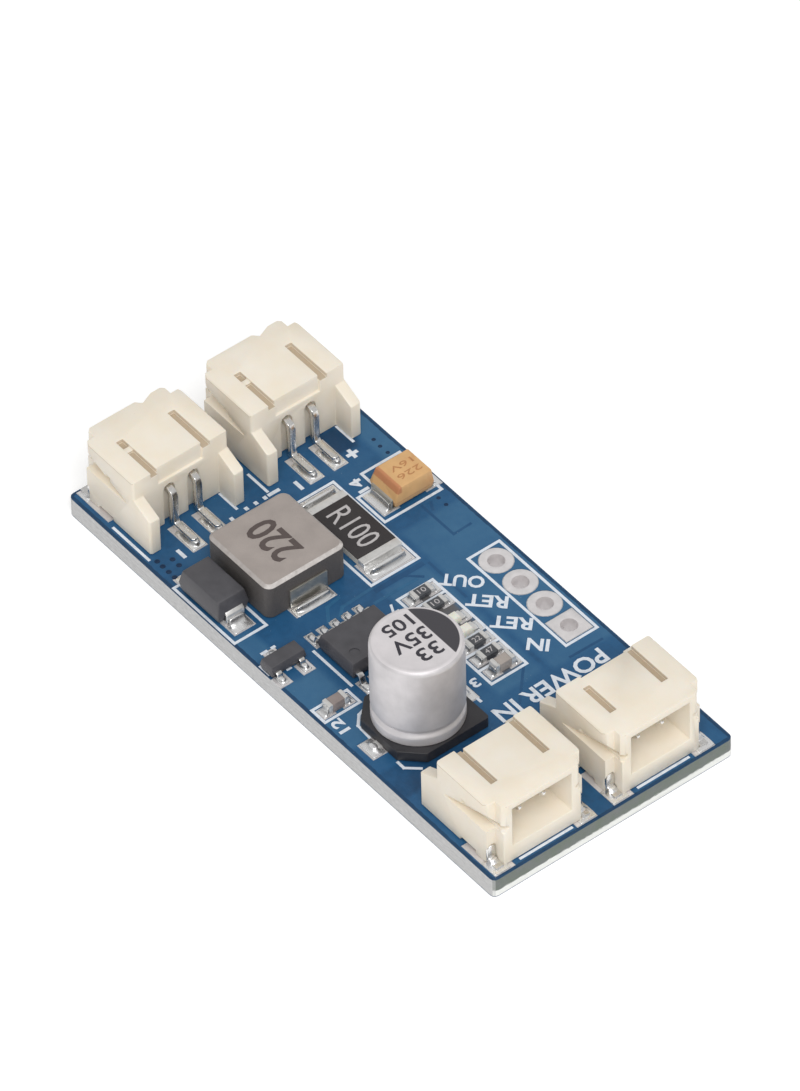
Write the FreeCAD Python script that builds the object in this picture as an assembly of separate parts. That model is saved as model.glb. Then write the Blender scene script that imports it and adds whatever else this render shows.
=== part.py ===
import FreeCAD, Part
import math
import os

from FreeCAD import Matrix, Placement, Rotation, Vector

# Lithium battery charger module: a 45 x 20 mm circuit board with four two-way
# side-entry sockets, a four-hole header row and surface-mounted parts.
# Millimetres, +Z up. The origin is the centre of the board's underside, +X points
# to the input end and +Y to the edge with the header holes.

# Board
BOARD_LENGTH = 45.0
BOARD_WIDTH = 20.0
LAMINATE_THICKNESS = 1.5
MASK_THICKNESS = 0.05
BOARD_CORNER_RADIUS = 0.4
MASK_OPENING_MARGIN = 0.06
OUTPUT_END = -BOARD_LENGTH / 2
INPUT_END = BOARD_LENGTH / 2
FRONT_EDGE = -BOARD_WIDTH / 2
HEADER_EDGE = BOARD_WIDTH / 2
BOARD_TOP = LAMINATE_THICKNESS + 2.0 * MASK_THICKNESS
LAMINATE_TOP = LAMINATE_THICKNESS + MASK_THICKNESS

# Facets of small arches, bends and corners, fine enough for their size
ARCH_FACETS = 4
SMALL_BEND_FACETS = 1
CORNER_FACETS = 3
LAND_SIDES = 24
DIMPLE_SIDES = 12

# Header row
HEADER_PITCH = 2.54
HEADER_COUNT = 4
HEADER_FROM_END = 18.46
HEADER_FROM_EDGE = 1.85
HEADER_CENTRE = (INPUT_END - HEADER_FROM_END, HEADER_EDGE - HEADER_FROM_EDGE)
EYELET_BORE = 1.2
EYELET_WALL = 0.1
EYELET_FLANGE_DIAMETER = 2.3
EYELET_SQUARE_LAND = 2.2

# Two-way side-entry socket. Local axes: u out through the mouth from the rear wall,
# v across, w up from the housing's underside.
SOCKET_WIDTH = 7.9
SOCKET_DEPTH = 6.0
SOCKET_HEIGHT = 5.35
SOCKET_STANDOFF = 0.05
SOCKET_EDGE_BREAK = 0.12
NOSE_WIDTH = 6.4
NOSE_LENGTH = 0.85
NOSE_CORNER_CHAMFER = 0.25
CROWN_CHAMFER = 0.35
SHOULDER_HEIGHT = 2.9
MOUTH_WIDTH = 4.9
MOUTH_HEIGHT = 3.45
MOUTH_FLOOR = 1.35
MOUTH_BACK_WALL = 1.0
EAR_LENGTH = 1.7
EAR_THICKNESS = 0.85
EAR_ROOT_HEIGHT = 3.75
EAR_TIP_HEIGHT = 2.95
SLOT_SPACING = 4.3
SLOT_WIDTH = 0.55
SLOT_DEPTH = 0.38
SLOT_FRONT = 3.8
SLOT_BAR = 1.0
SLOT_BRIDGE = 0.45
SLOT_BRIDGE_FRONT = 3.1
SLOT_BRIDGE_DROP = 0.16
TONGUE_RECESS = 0.2
TONGUE_THICKNESS = 1.35
SIDE_SLIT_BOTTOM = 3.2
SIDE_SLIT_HEIGHT = 0.3
SIDE_SLIT_LENGTH = 1.6
SIDE_SLIT_DEPTH = 1.2
SCOOP_START = 0.7
SCOOP_FULL = 3.7
SCOOP_DEPTH = 0.8
SCOOP_REAR_HEIGHT = 0.1
SCOOP_FRONT_HEIGHT = 1.6
SCOOP_INNER_HEIGHT = 0.5
NICK_START = 2.55
NICK_LENGTH = 0.5
NICK_DEPTH = 0.3
NICK_HEIGHT = 1.05
DENT_START = 0.8
DENT_BOTTOM = 1.2
DENT_END = 2.15
DENT_DEPTH = 0.4
FOOT_RELIEF_START = 2.4
FOOT_RELIEF_LENGTH = 1.6
FOOT_RELIEF_HEIGHT = 0.3
CHANNEL_WIDTH = 0.95
CHANNEL_DEPTH = 0.35

# Socket contacts and anchor tabs
CONTACT_PITCH = 2.0
CONTACT_SIZE = 0.5
CONTACT_CLEARANCE = 0.02
CONTACT_HEIGHT = 3.05
CONTACT_TIP_SETBACK = 1.0
CONTACT_TIP_LENGTH = 0.4
CONTACT_TIP_SIZE = 0.24
CONTACT_BEND_RADIUS = 0.42
CONTACT_DROP = 0.42
CONTACT_FOOT_END = 2.75
CONTACT_TOE_CHAMFER = 0.16
ANCHOR_WIDTH = 0.66
ANCHOR_THICKNESS = 0.22
ANCHOR_HEIGHT = 1.5
ANCHOR_FOOT = 0.95
ANCHOR_RECESS = 0.16
ANCHOR_GAP = 0.045
SIGNAL_PAD = (2.75, 1.15)
SIGNAL_PAD_END = 3.2
ANCHOR_PAD = (3.45, 1.6)
INPUT_PAD_AHEAD = 0.35
OUTPUT_PAD_AHEAD = 0.05
ANCHOR_PAD_SPACING = 6.8

# Socket places: rear wall X behind each end's mouths, row centre Y and spacing of each pair
INPUT_MOUTH_SETBACK = 0.65
OUTPUT_MOUTH_SETBACK = 0.2
INPUT_WALL_X = INPUT_END - INPUT_MOUTH_SETBACK - SOCKET_DEPTH
OUTPUT_WALL_X = OUTPUT_END + OUTPUT_MOUTH_SETBACK + SOCKET_DEPTH
INPUT_ROW_Y = -0.47
OUTPUT_ROW_Y = -0.27
SOCKET_SPACING = 9.85

# Power inductor
INDUCTOR_FROM_END = 14.25
INDUCTOR_FROM_EDGE = 6.45
INDUCTOR_CENTRE = (OUTPUT_END + INDUCTOR_FROM_END, FRONT_EDGE + INDUCTOR_FROM_EDGE)
INDUCTOR_SIDE = 6.6
INDUCTOR_HEIGHT = 3.0
INDUCTOR_CORNER_RADIUS = 0.6
INDUCTOR_TOP_CHAMFER = 0.22
INDUCTOR_STANDOFF = 0.12
INDUCTOR_STRAP_WIDTH = 3.1
INDUCTOR_STRAP_THICKNESS = 0.15
INDUCTOR_STRAP_HEIGHT = 1.75
INDUCTOR_STRAP_RETURN = 1.3
INDUCTOR_PAD = (2.4, 3.3)
INDUCTOR_PAD_SPAN = 8.45

# Current sense resistor
SHUNT_FROM_END = 14.75
SHUNT_FROM_EDGE = 7.58
SHUNT_CENTRE = (OUTPUT_END + SHUNT_FROM_END, HEADER_EDGE - SHUNT_FROM_EDGE)
SHUNT_LENGTH = 6.4
SHUNT_WIDTH = 3.2
SHUNT_HEIGHT = 0.6
SHUNT_COAT_LENGTH = 5.1
SHUNT_COAT_THICKNESS = 0.06
SHUNT_END_WRAP = 0.04
SHUNT_PAD = (1.95, 3.5)
SHUNT_PAD_SPAN = 8.75

# Tantalum capacitor
TANTALUM_FROM_END = 13.65
TANTALUM_FROM_EDGE = 2.55
TANTALUM_CENTRE = (OUTPUT_END + TANTALUM_FROM_END, HEADER_EDGE - TANTALUM_FROM_EDGE)
TANTALUM_LENGTH = 3.3
TANTALUM_WIDTH = 2.8
TANTALUM_HEIGHT = 1.9
TANTALUM_STANDOFF = 0.1
TANTALUM_PARTING = 0.85
TANTALUM_TOP_TAPER = 0.12
TANTALUM_NOSE_TAPER = 0.45
TANTALUM_BOTTOM_TAPER = 0.12
TANTALUM_LEAD_WIDTH = 2.2
TANTALUM_LEAD_THICKNESS = 0.13
TANTALUM_LEAD_RETURN = 0.8
TANTALUM_PAD = (1.3, 2.35)
TANTALUM_PAD_SPAN = 4.9

# Rectifier diode
DIODE_FROM_END = 13.85
DIODE_FROM_EDGE = 1.5
DIODE_CENTRE = (OUTPUT_END + DIODE_FROM_END, FRONT_EDGE + DIODE_FROM_EDGE)
DIODE_LENGTH = 4.3
DIODE_WIDTH = 2.6
DIODE_HEIGHT = 2.1
DIODE_STANDOFF = 0.1
DIODE_PARTING = 1.05
DIODE_TOP_TAPER = 0.22
DIODE_BOTTOM_TAPER = 0.15
DIODE_LEAD_WIDTH = 1.45
DIODE_LEAD_THICKNESS = 0.2
DIODE_LEAD_RETURN = 1.0
DIODE_PAD = (1.9, 1.7)
DIODE_PAD_SPAN = 6.6

# Transistor
TRANSISTOR_FROM_END = 23.78
TRANSISTOR_FROM_EDGE = 1.48
TRANSISTOR_CENTRE = (INPUT_END - TRANSISTOR_FROM_END, FRONT_EDGE + TRANSISTOR_FROM_EDGE)
TRANSISTOR_LENGTH = 2.9
TRANSISTOR_WIDTH = 1.3
TRANSISTOR_HEIGHT = 1.0
TRANSISTOR_STANDOFF = 0.06
TRANSISTOR_TAPER = 0.1
TRANSISTOR_LEAD_PITCH = 1.9
TRANSISTOR_SPAN = 2.4
TRANSISTOR_LEAD_WIDTH = 0.42
TRANSISTOR_LEAD_THICKNESS = 0.12
TRANSISTOR_PAD = (1.0, 0.95)
TRANSISTOR_PAD_SPAN = 3.2

# Charge controller
CONTROLLER_FROM_END = 21.47
CONTROLLER_FROM_EDGE = 6.38
CONTROLLER_CENTRE = (INPUT_END - CONTROLLER_FROM_END, FRONT_EDGE + CONTROLLER_FROM_EDGE)
CONTROLLER_LENGTH = 4.8
CONTROLLER_WIDTH = 3.8
CONTROLLER_HEIGHT = 1.45
CONTROLLER_STANDOFF = 0.1
CONTROLLER_TAPER = 0.18
CONTROLLER_LEADS_A_SIDE = 5
CONTROLLER_LEAD_PITCH = 1.0
CONTROLLER_SPAN = 6.1
CONTROLLER_LEAD_WIDTH = 0.42
CONTROLLER_LEAD_THICKNESS = 0.16
CONTROLLER_DIMPLE_DIAMETER = 0.75
CONTROLLER_DIMPLE_DEPTH = 0.06
CONTROLLER_DIMPLE_INSET = (1.0, 0.95)
CONTROLLER_PAD = (1.35, 0.6)
CONTROLLER_PAD_SPAN = 6.8

# Electrolytic capacitor
CAN_FROM_END = 14.15
CAN_FROM_EDGE = 5.13
CAN_CENTRE = (INPUT_END - CAN_FROM_END, FRONT_EDGE + CAN_FROM_EDGE)
CAN_DIAMETER = 6.3
CAN_TOP = 7.7
CAN_TOP_RADIUS = 0.4
CAN_BEAD_HEIGHT = 1.05
CAN_BEAD_DEPTH = 0.16
CAN_BEAD_HALF = 0.42
CAN_CURL = 0.3
CAN_CURL_FACETS = 1
CAN_BEAD_FACETS = 3
CAN_CROWN_FACETS = 2
BASE_SIDE = 6.6
BASE_THICKNESS = 0.9
BASE_CHAMFER = 1.4
BASE_STANDOFF = 0.08
BASE_CORNER_RADIUS = 0.25
BASE_LEAD_WIDTH = 0.7
BASE_LEAD_THICKNESS = 0.2
BASE_LEAD_OUT = 0.55
BASE_LEAD_INNER = 1.0
BASE_LEAD_CLEARANCE = 0.02
BASE_PAD = (1.65, 2.6)
BASE_PAD_SPAN = 8.8

# Chip parts, 0603 outline with the long axis along Y
CHIP_LENGTH = 1.6
CHIP_WIDTH = 0.8
CHIP_CAP_LENGTH = 0.32
CHIP_CAP_SKIN = 0.02
CHIP_RESISTOR_HEIGHT = 0.45
CHIP_CAPACITOR_HEIGHT = 0.8
CHIP_LAMP_HEIGHT = 0.55
CHIP_LAMP_LENS_TAPER = 0.08
CHIP_LAMP_BASE_HEIGHT = 0.3
CHIP_PAD = (0.95, 0.95)
CHIP_PAD_SPAN = 2.6
CHIP_ROW_FROM_END = 22.95
CHIP_ROW_FROM_EDGE = 7.58
CHIP_ROW_START = (INPUT_END - CHIP_ROW_FROM_END, HEADER_EDGE - CHIP_ROW_FROM_EDGE)
CHIP_ROW = (
    ("chip_resistor_1", "resistor", 0.0),
    ("chip_resistor_2", "resistor", 1.43),
    ("indicator_lamp_1", "lamp", 3.23),
    ("indicator_lamp_2", "lamp", 4.53),
    ("chip_resistor_3", "resistor", 5.75),
    ("chip_resistor_4", "resistor", 7.05),
    ("chip_capacitor_1", "capacitor", 8.45),
)
EDGE_CHIP_FROM_END = 18.63
EDGE_CHIP_FROM_EDGE = 1.78
EDGE_CHIP_CENTRE = (INPUT_END - EDGE_CHIP_FROM_END, FRONT_EDGE + EDGE_CHIP_FROM_EDGE)

pads = []


def box(x0, x1, y0, y1, z0, z1):
    return Part.makeBox(x1 - x0, y1 - y0, z1 - z0, Vector(x0, y0, z0))


def centred_box(length, width, height, centre=(0.0, 0.0), z=0.0):
    cx, cy = centre
    return box(cx - length / 2, cx + length / 2, cy - width / 2, cy + width / 2, z, z + height)


def face_from(points):
    wire = Part.makePolygon([Vector(*p) for p in points] + [Vector(*points[0])])
    return Part.Face(wire)


def plan_prism(points, z0, z1):
    return face_from([(x, y, z0) for x, y in points]).extrude(Vector(0, 0, z1 - z0))


def side_prism(points, y0, y1):
    # points are (x, z) pairs of a profile that runs across Y
    return face_from([(x, y0, z) for x, z in points]).extrude(Vector(0, y1 - y0, 0))


def edges_along(shape, axis, test=lambda mid: True):
    found = []
    for edge in shape.Edges:
        if not isinstance(edge.Curve, Part.Line):
            continue
        along = edge.tangentAt(edge.FirstParameter)
        if abs(abs(along.dot(axis)) - 1.0) < 1e-6 and test(edge.CenterOfMass):
            found.append(edge)
    return found


def tapered_block(length, width, z0, z1, taper0, taper1, taper_ends=None):
    # a loft between two rectangles, each drawn in by its own taper
    ends = taper_ends or ((taper0, taper0), (taper1, taper1))
    wires = []
    for z, side, (low, high) in ((z0, taper0, ends[0]), (z1, taper1, ends[1])):
        x0, x1 = -length / 2 + low, length / 2 - high
        y0, y1 = -width / 2 + side, width / 2 - side
        corners = [(x0, y0, z), (x1, y0, z), (x1, y1, z), (x0, y1, z)]
        wires.append(face_from(corners).OuterWire)
    return Part.makeLoft(wires, True, True)


def moulded_body(length, width, bottom, parting, top, bottom_taper, top_taper, nose_taper=None):
    # two tapered halves that meet at the mould's parting line
    lower = tapered_block(length, width, bottom, parting, bottom_taper, 0.0)
    nose = top_taper if nose_taper is None else nose_taper
    ends = ((0.0, 0.0), (nose, top_taper))
    upper = tapered_block(length, width, parting, top, 0.0, top_taper, ends)
    return lower.fuse(upper).removeSplitter()


def arc_points(cx, cy, radius, start, end, facets):
    # points of an arc in a plane, from one angle to the other, in degrees
    found = []
    for k in range(facets + 1):
        angle = math.radians(start + (end - start) * k / facets)
        found.append((cx + radius * math.cos(angle), cy + radius * math.sin(angle)))
    return found


def bend_path(points, radii, facets):
    # centre line of a strip with each inner corner rounded to its radius, in straight facets
    path = [Vector(points[0][0], 0, points[0][1])]
    for i in range(1, len(points) - 1):
        before, corner, after = [Vector(p[0], 0, p[1]) for p in points[i - 1:i + 2]]
        d0 = (corner - before).normalize()
        d1 = (after - corner).normalize()
        turn = math.acos(max(-1.0, min(1.0, d0.dot(d1))))
        start = corner - d0 * radii[i - 1] * math.tan(turn / 2)
        side = -1 if d0.cross(d1).y > 0 else 1
        arm = Vector(-d0.z, 0, d0.x) * side * radii[i - 1]
        centre = start + arm
        for k in range(facets + 1):
            spin = Rotation(Vector(0, 1, 0), math.degrees(turn) * k / facets * -side)
            path.append(centre - spin.multVec(arm))
    path.append(Vector(points[-1][0], 0, points[-1][1]))
    return path


def bent_strip(points, radii, thickness, y0, y1, facets=2):
    # a strip of one thickness along a bent path of (x, z) points, extruded across Y
    path = bend_path(points, radii, facets)
    half = thickness / 2
    sides = ([], [])
    for i, p in enumerate(path):
        d0 = (p - path[i - 1]).normalize() if i else (path[1] - p).normalize()
        d1 = (path[i + 1] - p).normalize() if i < len(path) - 1 else d0
        mitre = (Vector(-d0.z, 0, d0.x) + Vector(-d1.z, 0, d1.x)).normalize()
        reach = half / max(0.2, mitre.dot(Vector(-d0.z, 0, d0.x)))
        sides[0].append(p + mitre * reach)
        sides[1].append(p - mitre * reach)
    outline = [(p.x, y0, p.z) for p in sides[0] + sides[1][::-1]]
    return face_from(outline).extrude(Vector(0, y1 - y0, 0))


def turned(shape, angle, x, y, z=0.0):
    placed = shape.copy()
    move = Placement(Vector(x, y, z), Rotation(Vector(0, 0, 1), angle))
    placed.Placement = move.multiply(shape.Placement)
    return placed


def mirrored_x(shape):
    return shape.mirror(Vector(0, 0, 0), Vector(1, 0, 0))


def mirrored_y(shape):
    return shape.mirror(Vector(0, 0, 0), Vector(0, 1, 0))


def add_pad(x, y, length, width, angle=0.0):
    # length runs along X before the pad is turned
    pads.append((x, y, length, width, angle))


def pad_pair(centre, pad, span, angle=0.0):
    # two pads whose outer ends are one span apart, along X before the turn
    cx, cy = centre
    reach = (span - pad[0]) / 2
    c, s = math.cos(math.radians(angle)), math.sin(math.radians(angle))
    for sign in (-1, 1):
        add_pad(cx + sign * reach * c, cy + sign * reach * s, pad[0], pad[1], angle)


def pad_solid(entry, z0, z1, margin=0.0):
    x, y, length, width, angle = entry
    block = centred_box(length + 2 * margin, width + 2 * margin, z1 - z0)
    return turned(block, angle, x, y, z0)


def header_places():
    cx, cy = HEADER_CENTRE
    first = cx - HEADER_PITCH * (HEADER_COUNT - 1) / 2
    return [(first + HEADER_PITCH * k, cy) for k in range(HEADER_COUNT)]


def rounded_plate(length, width, z0, z1, radius):
    x, y = length / 2 - radius, width / 2 - radius
    outline = []
    for k, (sx, sy) in enumerate(((1, 1), (-1, 1), (-1, -1), (1, -1))):
        outline += arc_points(sx * x, sy * y, radius, 90.0 * k, 90.0 * (k + 1), CORNER_FACETS)
    return plan_prism(outline, z0, z1)


def many_sided(x, y, z0, z1, radius, sides):
    # a prism that a circle of this radius fits into
    reach = radius / math.cos(math.pi / sides)
    return plan_prism(arc_points(x, y, reach, 0.0, 360.0, sides)[:-1], z0, z1)


def land_solid(k, x, y, z0, z1):
    # the last land of the row is square, the others are round
    if k == HEADER_COUNT - 1:
        return centred_box(EYELET_SQUARE_LAND, EYELET_SQUARE_LAND, z1 - z0, (x, y), z0)
    return many_sided(x, y, z0, z1, EYELET_FLANGE_DIAMETER / 2, LAND_SIDES)


def land_opening(k, x, y, z0, z1):
    # the opening in the mask film, a margin wider than the land all round
    if k == HEADER_COUNT - 1:
        side = EYELET_SQUARE_LAND + 2 * MASK_OPENING_MARGIN
        return centred_box(side, side, z1 - z0, (x, y), z0)
    radius = EYELET_FLANGE_DIAMETER / 2 + MASK_OPENING_MARGIN
    return many_sided(x, y, z0, z1, radius, LAND_SIDES)


def build_board():
    bore = EYELET_BORE / 2
    barrel = bore + EYELET_WALL
    laminate = rounded_plate(BOARD_LENGTH, BOARD_WIDTH, MASK_THICKNESS, LAMINATE_TOP, BOARD_CORNER_RADIUS)
    top = rounded_plate(BOARD_LENGTH, BOARD_WIDTH, LAMINATE_TOP, BOARD_TOP, BOARD_CORNER_RADIUS)
    bottom = rounded_plate(BOARD_LENGTH, BOARD_WIDTH, 0.0, MASK_THICKNESS, BOARD_CORNER_RADIUS)
    nodes = {}
    drills = []
    top_openings = [pad_solid(p, LAMINATE_TOP - 0.1, BOARD_TOP + 0.1, MASK_OPENING_MARGIN) for p in pads]
    bottom_openings = []
    for k, (x, y) in enumerate(header_places()):
        drills.append(Part.makeCylinder(barrel, BOARD_TOP + 1.0, Vector(x, y, -0.5)))
        top_openings.append(land_opening(k, x, y, LAMINATE_TOP - 0.1, BOARD_TOP + 0.1))
        bottom_openings.append(land_opening(k, x, y, -0.1, MASK_THICKNESS + 0.1))
        lands = [land_solid(k, x, y, 0.0, MASK_THICKNESS), land_solid(k, x, y, LAMINATE_TOP, BOARD_TOP)]
        eyelet = Part.makeCylinder(barrel, BOARD_TOP, Vector(x, y, 0)).fuse(lands)
        eyelet = eyelet.cut(Part.makeCylinder(bore, BOARD_TOP + 1.0, Vector(x, y, -0.5)))
        nodes["header_eyelet_%d" % (k + 1)] = eyelet.removeSplitter()
    nodes["board_laminate"] = laminate.cut(Part.makeCompound(drills))
    nodes["solder_mask_top"] = top.cut(top_openings)
    nodes["solder_mask_bottom"] = bottom.cut(Part.makeCompound(bottom_openings))
    nodes["contact_pads"] = Part.makeCompound([pad_solid(p, LAMINATE_TOP, BOARD_TOP) for p in pads])
    return nodes


def socket_plan():
    # half of the crown's plan, from the rear wall round the front corner to the nose
    half = SOCKET_WIDTH / 2
    nose = NOSE_WIDTH / 2
    shoulder = SOCKET_DEPTH - NOSE_LENGTH
    side = [
        (0.0, half),
        (shoulder - CROWN_CHAMFER, half),
        (shoulder, half - CROWN_CHAMFER / 2),
        (shoulder, nose),
        (SOCKET_DEPTH - NOSE_CORNER_CHAMFER, nose),
        (SOCKET_DEPTH, nose - NOSE_CORNER_CHAMFER),
    ]
    return side + [(u, -v) for u, v in reversed(side)]


def slot_cutters(closed_slot, bridged_slot):
    # two slots in the crown, open to the rear, one of which may be closed or bridged
    top = SOCKET_HEIGHT
    cutters = []
    for side in (-1, 1):
        v = side * SLOT_SPACING / 2
        v0, v1 = v - SLOT_WIDTH / 2, v + SLOT_WIDTH / 2
        start = SLOT_BAR if side == closed_slot else -0.5
        if side == bridged_slot:
            bridge_rear = SLOT_BRIDGE_FRONT - SLOT_BRIDGE
            cutters.append(box(start, bridge_rear, v0, v1, top - SLOT_DEPTH, top + 0.5))
            cutters.append(box(bridge_rear, SLOT_BRIDGE_FRONT, v0, v1, top - SLOT_BRIDGE_DROP, top + 0.5))
            start = SLOT_BRIDGE_FRONT
        cutters.append(box(start, SLOT_FRONT, v0, v1, top - SLOT_DEPTH, top + 0.5))
    return cutters


def anchor_outline(clearance=0.0):
    # arched outline of an anchor tab in the plane across the socket
    half = ANCHOR_WIDTH / 2 + clearance
    spring = ANCHOR_HEIGHT - ANCHOR_WIDTH / 2
    arch = arc_points(0.0, spring, half, 0.0, 180.0, ARCH_FACETS)
    return face_from([(0.0, v, w) for v, w in [(-half, -0.5), (half, -0.5)] + arch])


def anchor_place():
    # the tab stands in the corner between the nose and the shoulder
    v = (NOSE_WIDTH / 2 + SOCKET_WIDTH / 2) / 2
    return SOCKET_DEPTH - NOSE_LENGTH, v


def scoop_cutter(half, shoulder):
    # an undercut of the crown's side: it deepens to the front, and its ceiling rises outwards
    floor = half - SCOOP_DEPTH
    end = shoulder + 0.5
    plan = [(SCOOP_START, half + 0.01), (SCOOP_FULL, floor), (end, floor), (end, half + 0.01)]
    scoop = plan_prism(plan, SHOULDER_HEIGHT, SHOULDER_HEIGHT + SCOOP_FRONT_HEIGHT)
    rear = Vector(SCOOP_START, half, SHOULDER_HEIGHT + SCOOP_REAR_HEIGHT)
    front = Vector(shoulder, half, SHOULDER_HEIGHT + SCOOP_FRONT_HEIGHT)
    inner = Vector(shoulder, floor, SHOULDER_HEIGHT + SCOOP_INNER_HEIGHT)
    up = (inner - rear).cross(front - rear)
    if up.z < 0:
        up = up * -1
    above = Part.makeBox(40.0, 40.0, 20.0, Vector(-20.0, -20.0, 0.0))
    above.Placement = Placement(rear, Rotation(Vector(0, 0, 1), up))
    return scoop.cut(above)


def dent_cutter():
    # a shallow dent in the roof's front edge
    depth = SOCKET_DEPTH - DENT_DEPTH
    outline = [
        (SOCKET_DEPTH + 0.1, -DENT_START),
        (SOCKET_DEPTH, -DENT_START),
        (depth, -DENT_BOTTOM),
        (SOCKET_DEPTH, -DENT_END),
        (SOCKET_DEPTH + 0.1, -DENT_END),
    ]
    return plan_prism(outline, MOUTH_FLOOR + MOUTH_HEIGHT - 0.1, SOCKET_HEIGHT + 0.5)


def build_housing(closed_slot=0, bridged_slot=0):
    half = SOCKET_WIDTH / 2
    shoulder = SOCKET_DEPTH - NOSE_LENGTH
    crown = plan_prism(socket_plan(), SHOULDER_HEIGHT, SOCKET_HEIGHT)
    block = box(0.0, shoulder, -half, half, 0.0, SHOULDER_HEIGHT)
    nose = box(0.0, SOCKET_DEPTH, -NOSE_WIDTH / 2, NOSE_WIDTH / 2, 0.0, SHOULDER_HEIGHT)
    ear_profile = [
        (-EAR_LENGTH, 0.0),
        (0.5, 0.0),
        (0.5, EAR_ROOT_HEIGHT),
        (0.0, EAR_ROOT_HEIGHT),
        (-EAR_LENGTH, EAR_TIP_HEIGHT),
    ]
    ears = [
        side_prism(ear_profile, half - EAR_THICKNESS, half),
        side_prism(ear_profile, -half, EAR_THICKNESS - half),
    ]
    body = crown.fuse([block, nose] + ears).removeSplitter()
    rear = edges_along(body, Vector(0, 0, 1), lambda m: m.x < 1e-6 and abs(m.y) > half - 0.01)
    top = edges_along(body, Vector(1, 0, 0), lambda m: m.z > SOCKET_HEIGHT - 1e-6 and abs(m.y) > half - 0.01)
    body = body.makeChamfer(SOCKET_EDGE_BREAK, rear + top)

    cutters = slot_cutters(closed_slot, bridged_slot)
    mouth_half = MOUTH_WIDTH / 2
    mouth_top = MOUTH_FLOOR + MOUTH_HEIGHT
    cutters.append(box(MOUTH_BACK_WALL, SOCKET_DEPTH + 0.5, -mouth_half, mouth_half, MOUTH_FLOOR, mouth_top))
    tongue = SLOT_SPACING / 2 - SLOT_WIDTH / 2
    tongue_low = SOCKET_HEIGHT - TONGUE_THICKNESS
    cutters.append(box(-0.5, TONGUE_RECESS, -tongue, tongue, tongue_low, SOCKET_HEIGHT + 0.5))
    slit_rear = SOCKET_DEPTH - SIDE_SLIT_LENGTH
    slit_top = SIDE_SLIT_BOTTOM + SIDE_SLIT_HEIGHT
    nick_end = NICK_START + NICK_LENGTH
    if bridged_slot:
        cutters.append(dent_cutter())
    for side in (-1, 1):
        slit = box(slit_rear, SOCKET_DEPTH + 0.5, half - SIDE_SLIT_DEPTH, half, SIDE_SLIT_BOTTOM, slit_top)
        scoop = scoop_cutter(half, shoulder)
        nick = box(NICK_START, nick_end, half - NICK_DEPTH, half + 0.5, SHOULDER_HEIGHT, SHOULDER_HEIGHT + NICK_HEIGHT)
        relief_end = FOOT_RELIEF_START + FOOT_RELIEF_LENGTH
        relief = box(FOOT_RELIEF_START, relief_end, NOSE_WIDTH / 2, half + 0.5, -0.5, FOOT_RELIEF_HEIGHT)
        recess_u, recess_v = anchor_place()
        recess = anchor_outline(ANCHOR_GAP).extrude(Vector(1.0, 0, 0))
        recess.translate(Vector(recess_u - ANCHOR_RECESS, recess_v, 0))
        for cutter in (slit, scoop, nick, relief, recess):
            cutters.append(cutter if side > 0 else mirrored_y(cutter))
    for side in (-1, 1):
        v = side * CONTACT_PITCH / 2
        hole = CONTACT_SIZE / 2 + CONTACT_CLEARANCE
        cutters.append(box(-0.5, MOUTH_BACK_WALL + 0.5, v - hole, v + hole, CONTACT_HEIGHT - hole, CONTACT_HEIGHT + hole))
        arch = arc_points(v, CONTACT_HEIGHT, CHANNEL_WIDTH / 2, 0.0, 180.0, ARCH_FACETS)
        channel = [(v - CHANNEL_WIDTH / 2, -0.5), (v + CHANNEL_WIDTH / 2, -0.5)] + arch
        cutters.append(face_from([(-0.5, y, z) for y, z in channel]).extrude(Vector(CHANNEL_DEPTH + 0.5, 0, 0)))
    return body.cut(cutters).removeSplitter()


def build_contact():
    # a square wire: pin in the mouth, through the rear wall, down its channel, and a foot
    tip = SOCKET_DEPTH - CONTACT_TIP_SETBACK
    foot_height = CONTACT_SIZE / 2 - SOCKET_STANDOFF
    path = [
        (tip - CONTACT_TIP_LENGTH, CONTACT_HEIGHT),
        (-CONTACT_DROP, CONTACT_HEIGHT),
        (-CONTACT_DROP, foot_height),
        (-CONTACT_FOOT_END, foot_height),
    ]
    half = CONTACT_SIZE / 2
    wire = bent_strip(path, [CONTACT_BEND_RADIUS, CONTACT_BEND_RADIUS], CONTACT_SIZE, -half, half)
    rear = tip - CONTACT_TIP_LENGTH
    square = [(-1, -1), (1, -1), (1, 1), (-1, 1)]
    root = face_from([(rear, half * a, CONTACT_HEIGHT + half * b) for a, b in square]).OuterWire
    small = CONTACT_TIP_SIZE / 2
    end = face_from([(tip, small * a, CONTACT_HEIGHT + small * b) for a, b in square]).OuterWire
    point = Part.makeLoft([root, end], True, True)
    toe = edges_along(wire, Vector(0, 0, 1), lambda m: m.x < -CONTACT_FOOT_END + 1e-6)
    wire = wire.makeChamfer(CONTACT_TOE_CHAMFER, toe)
    return wire.fuse(point).removeSplitter()


def build_anchor():
    # an upright tab with an arched top and a foot that runs forward on its pad
    u, v = anchor_place()
    half = ANCHOR_THICKNESS / 2
    plate_u = u - ANCHOR_RECESS + half
    foot_height = half - SOCKET_STANDOFF
    path = [
        (plate_u, ANCHOR_HEIGHT),
        (plate_u, foot_height),
        (plate_u + ANCHOR_FOOT, foot_height),
    ]
    width = ANCHOR_WIDTH / 2
    strip = bent_strip(path, [ANCHOR_THICKNESS], ANCHOR_THICKNESS, -width, width, SMALL_BEND_FACETS)
    outline = anchor_outline().extrude(Vector(3.0, 0, 0))
    outline.translate(Vector(plate_u - 1.0, 0, 0))
    tab = strip.common(outline).removeSplitter()
    tab.translate(Vector(0, v, 0))
    return tab


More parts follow.
